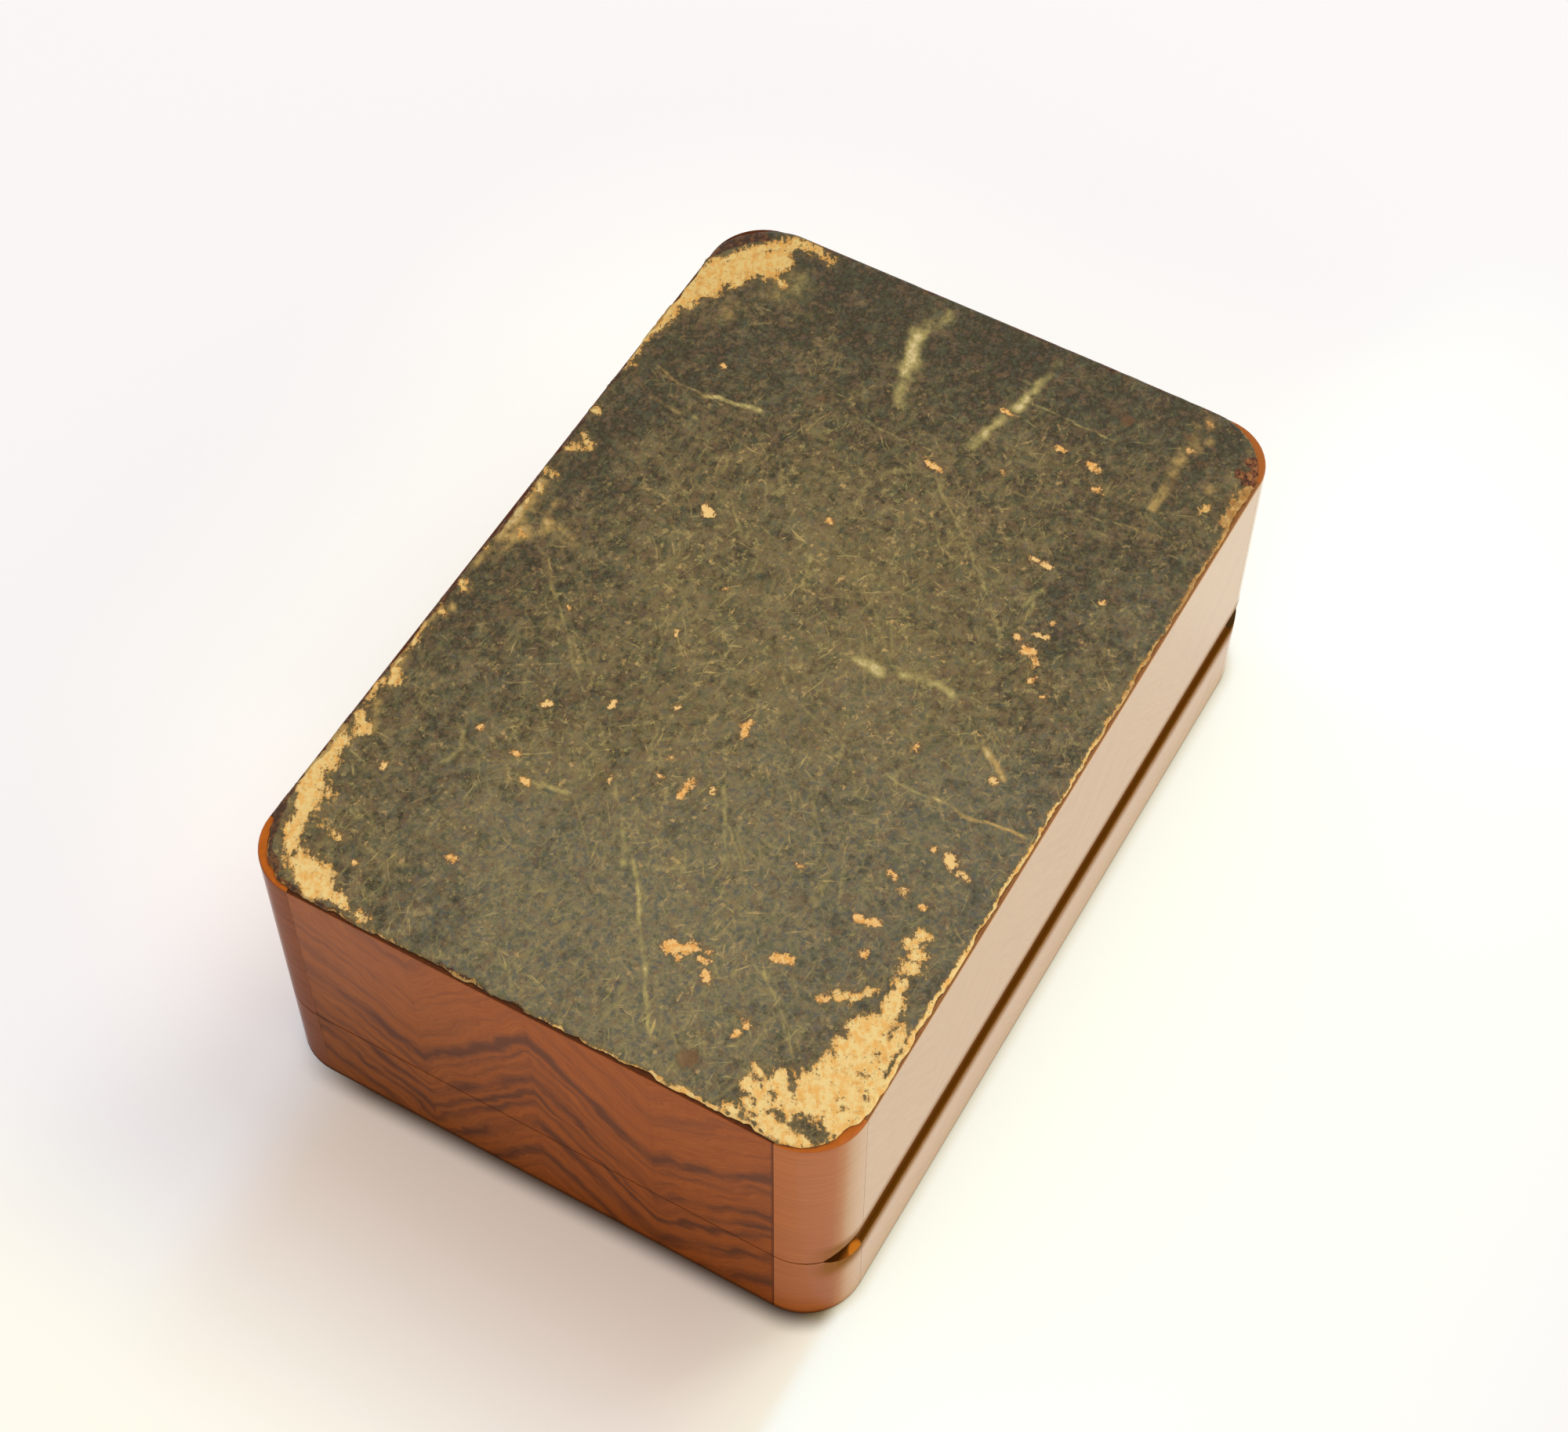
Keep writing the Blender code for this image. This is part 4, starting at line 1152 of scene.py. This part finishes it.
def world():
    """Warm light from all round, more of it from the hinged side."""
    made = bpy.data.worlds.new("world")
    bpy.context.scene.world = made
    made.use_nodes = True
    tree = made.node_tree
    back = tree.nodes["Background"]
    way = put("ShaderNodeTexCoord", {}, tree).outputs["Generated"]
    toward, facing = (
        vector_math("DOT_PRODUCT", way, Vector(side).normalized())["Value"]
        for side in (WORLD_SIDE, WORLD_COOL_SIDE)
    )
    more = larger(toward, 0.0)
    level = add(WORLD_EVEN, times(more, WORLD_SIDE_LIGHT))
    colour = blend(step(facing, -0.8, 0.8), WORLD_WARM, WORLD_COOL)
    seen = put("ShaderNodeLightPath", {}, tree).outputs["Is Camera Ray"]
    feed(back, {
        "Color": blend(seen, colour, WORLD_SEEN),
        "Strength": blend(seen, level, (WORLD_SEEN_LEVEL,) * 3),
    })


def lamp():
    """A long softbox that leans over the far end of the box."""
    data = bpy.data.lights.new("key", "AREA")
    data.shape = "RECTANGLE"
    data.size = KEY_WIDE
    data.size_y = KEY_HIGH
    data.energy = KEY_POWER
    data.color = KEY_COLOUR
    made = bpy.data.objects.new("key", data)
    away = Vector(KEY_FROM).normalized()
    made.location = away * KEY_DISTANCE
    made.rotation_mode = "QUATERNION"
    made.rotation_quaternion = (-away).to_track_quat("-Z", "Y")
    bpy.context.scene.collection.objects.link(made)


camera()
floor()
world()
lamp()

RED_WOOD = {
    "light": (0.50, 0.134, 0.026),
    "deep": (0.395, 0.098, 0.021),
    "dark": (0.185, 0.057, 0.024),
    "pore": (0.15, 0.040, 0.014),
    "seam": 0.08,
    "end": 0.75,
    # left and right: tints of painted light across the short side; foot: painted shade at
    # its foot
    "left": (0.86, 1.12, 1.80),
    "right": (0.92, 0.96, 0.95),
    "foot": (0.68, 0.68, 0.62),
}
DEEP_WOOD = {
    "light": (0.26, 0.065, 0.018),
    "deep": (0.18, 0.040, 0.012),
    "dark": (0.070, 0.018, 0.009),
    "pore": (0.060, 0.015, 0.007),
}
FIELD_WOOD = {
    "light": (0.56, 0.20, 0.048),
    "deep": (0.45, 0.140, 0.032),
    "dark": (0.22, 0.066, 0.020),
    "pore": (0.20, 0.055, 0.016),
}
PALE_WOOD = {
    "light": (0.66, 0.37, 0.145),
    "deep": (0.60, 0.32, 0.120),
    "dark": (0.53, 0.27, 0.100),
    "pore": (0.48, 0.23, 0.085),
    "seam": 0.10,
    "end": 0.0,
}
SHORT_BANDS = (
    (33.0, 1.3, 0.95), (30.2, 0.7, 0.5), (27.6, 0.5, 0.4), (24.8, 1.1, 0.8),
    (21.7, 0.9, 0.8), (19.4, 0.8, 0.8), (15.0, 1.3, 0.85), (9.0, 1.3, 0.7),
)
short_side = figured_veneer("veneer_short", "Y", (0.57, -1.2, 0.92, -0.71), 14.0,
                            SHORT_BANDS, RED_WOOD, 0.3)
long_side = figured_veneer("veneer_long", "X", (0.9, -0.9, 0.9, -0.9, 0.9, -0.9), 14.8,
                           (), PALE_WOOD, 1.0)
for body in ("lid", "case"):
    dress(short_side, f"{body}_veneer_left", f"{body}_veneer_right")
    dress(long_side, f"{body}_veneer_front", f"{body}_veneer_back")
corner = plain_veneer("corner_veneer")
wood = carcass_wood("carcass_wood")
cloth = velvet("velvet_lining")
metal = brass("hinge_brass")
line = boxwood("boxwood")
across_long = face_veneer("crossband_long", (1.0, 0.0), DEEP_WOOD)
across_short = face_veneer("crossband_short", (0.0, 1.0), DEEP_WOOD)
field = face_veneer("field_veneer", (0.8, 0.6), FIELD_WOOD)
smoother = facet_smoother()
for name in frame["nodes"]:
    if "corner_veneer" in name:
        dress(corner, name)
    elif "wall" in name and "lining" not in name or "board" in name:
        dress(wood, name)
    elif "lining" in name:
        dress(cloth, name)
    elif "hinge" in name:
        dress(metal, name)
    elif "stringing" in name or "lozenge" in name:
        dress(line, name)
    elif "crossband" in name:
        dress(across_long if name.endswith(("front", "back")) else across_short, name)
    elif "lid_leaf" in name:
        dress(field, name)
    facets = frame["nodes"][name].modifiers.new("facets", "NODES")
    facets.node_group = smoother
    weights = frame["nodes"][name].modifiers.new("weights", "WEIGHTED_NORMAL")
    weights.keep_sharp = True
    weights.weight = 100

cover = base_cover()
cover.data.materials.append(leather_paper())
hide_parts("case_base_cover")
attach(cover, "case")

bpy.context.scene.view_settings.view_transform = "Standard"
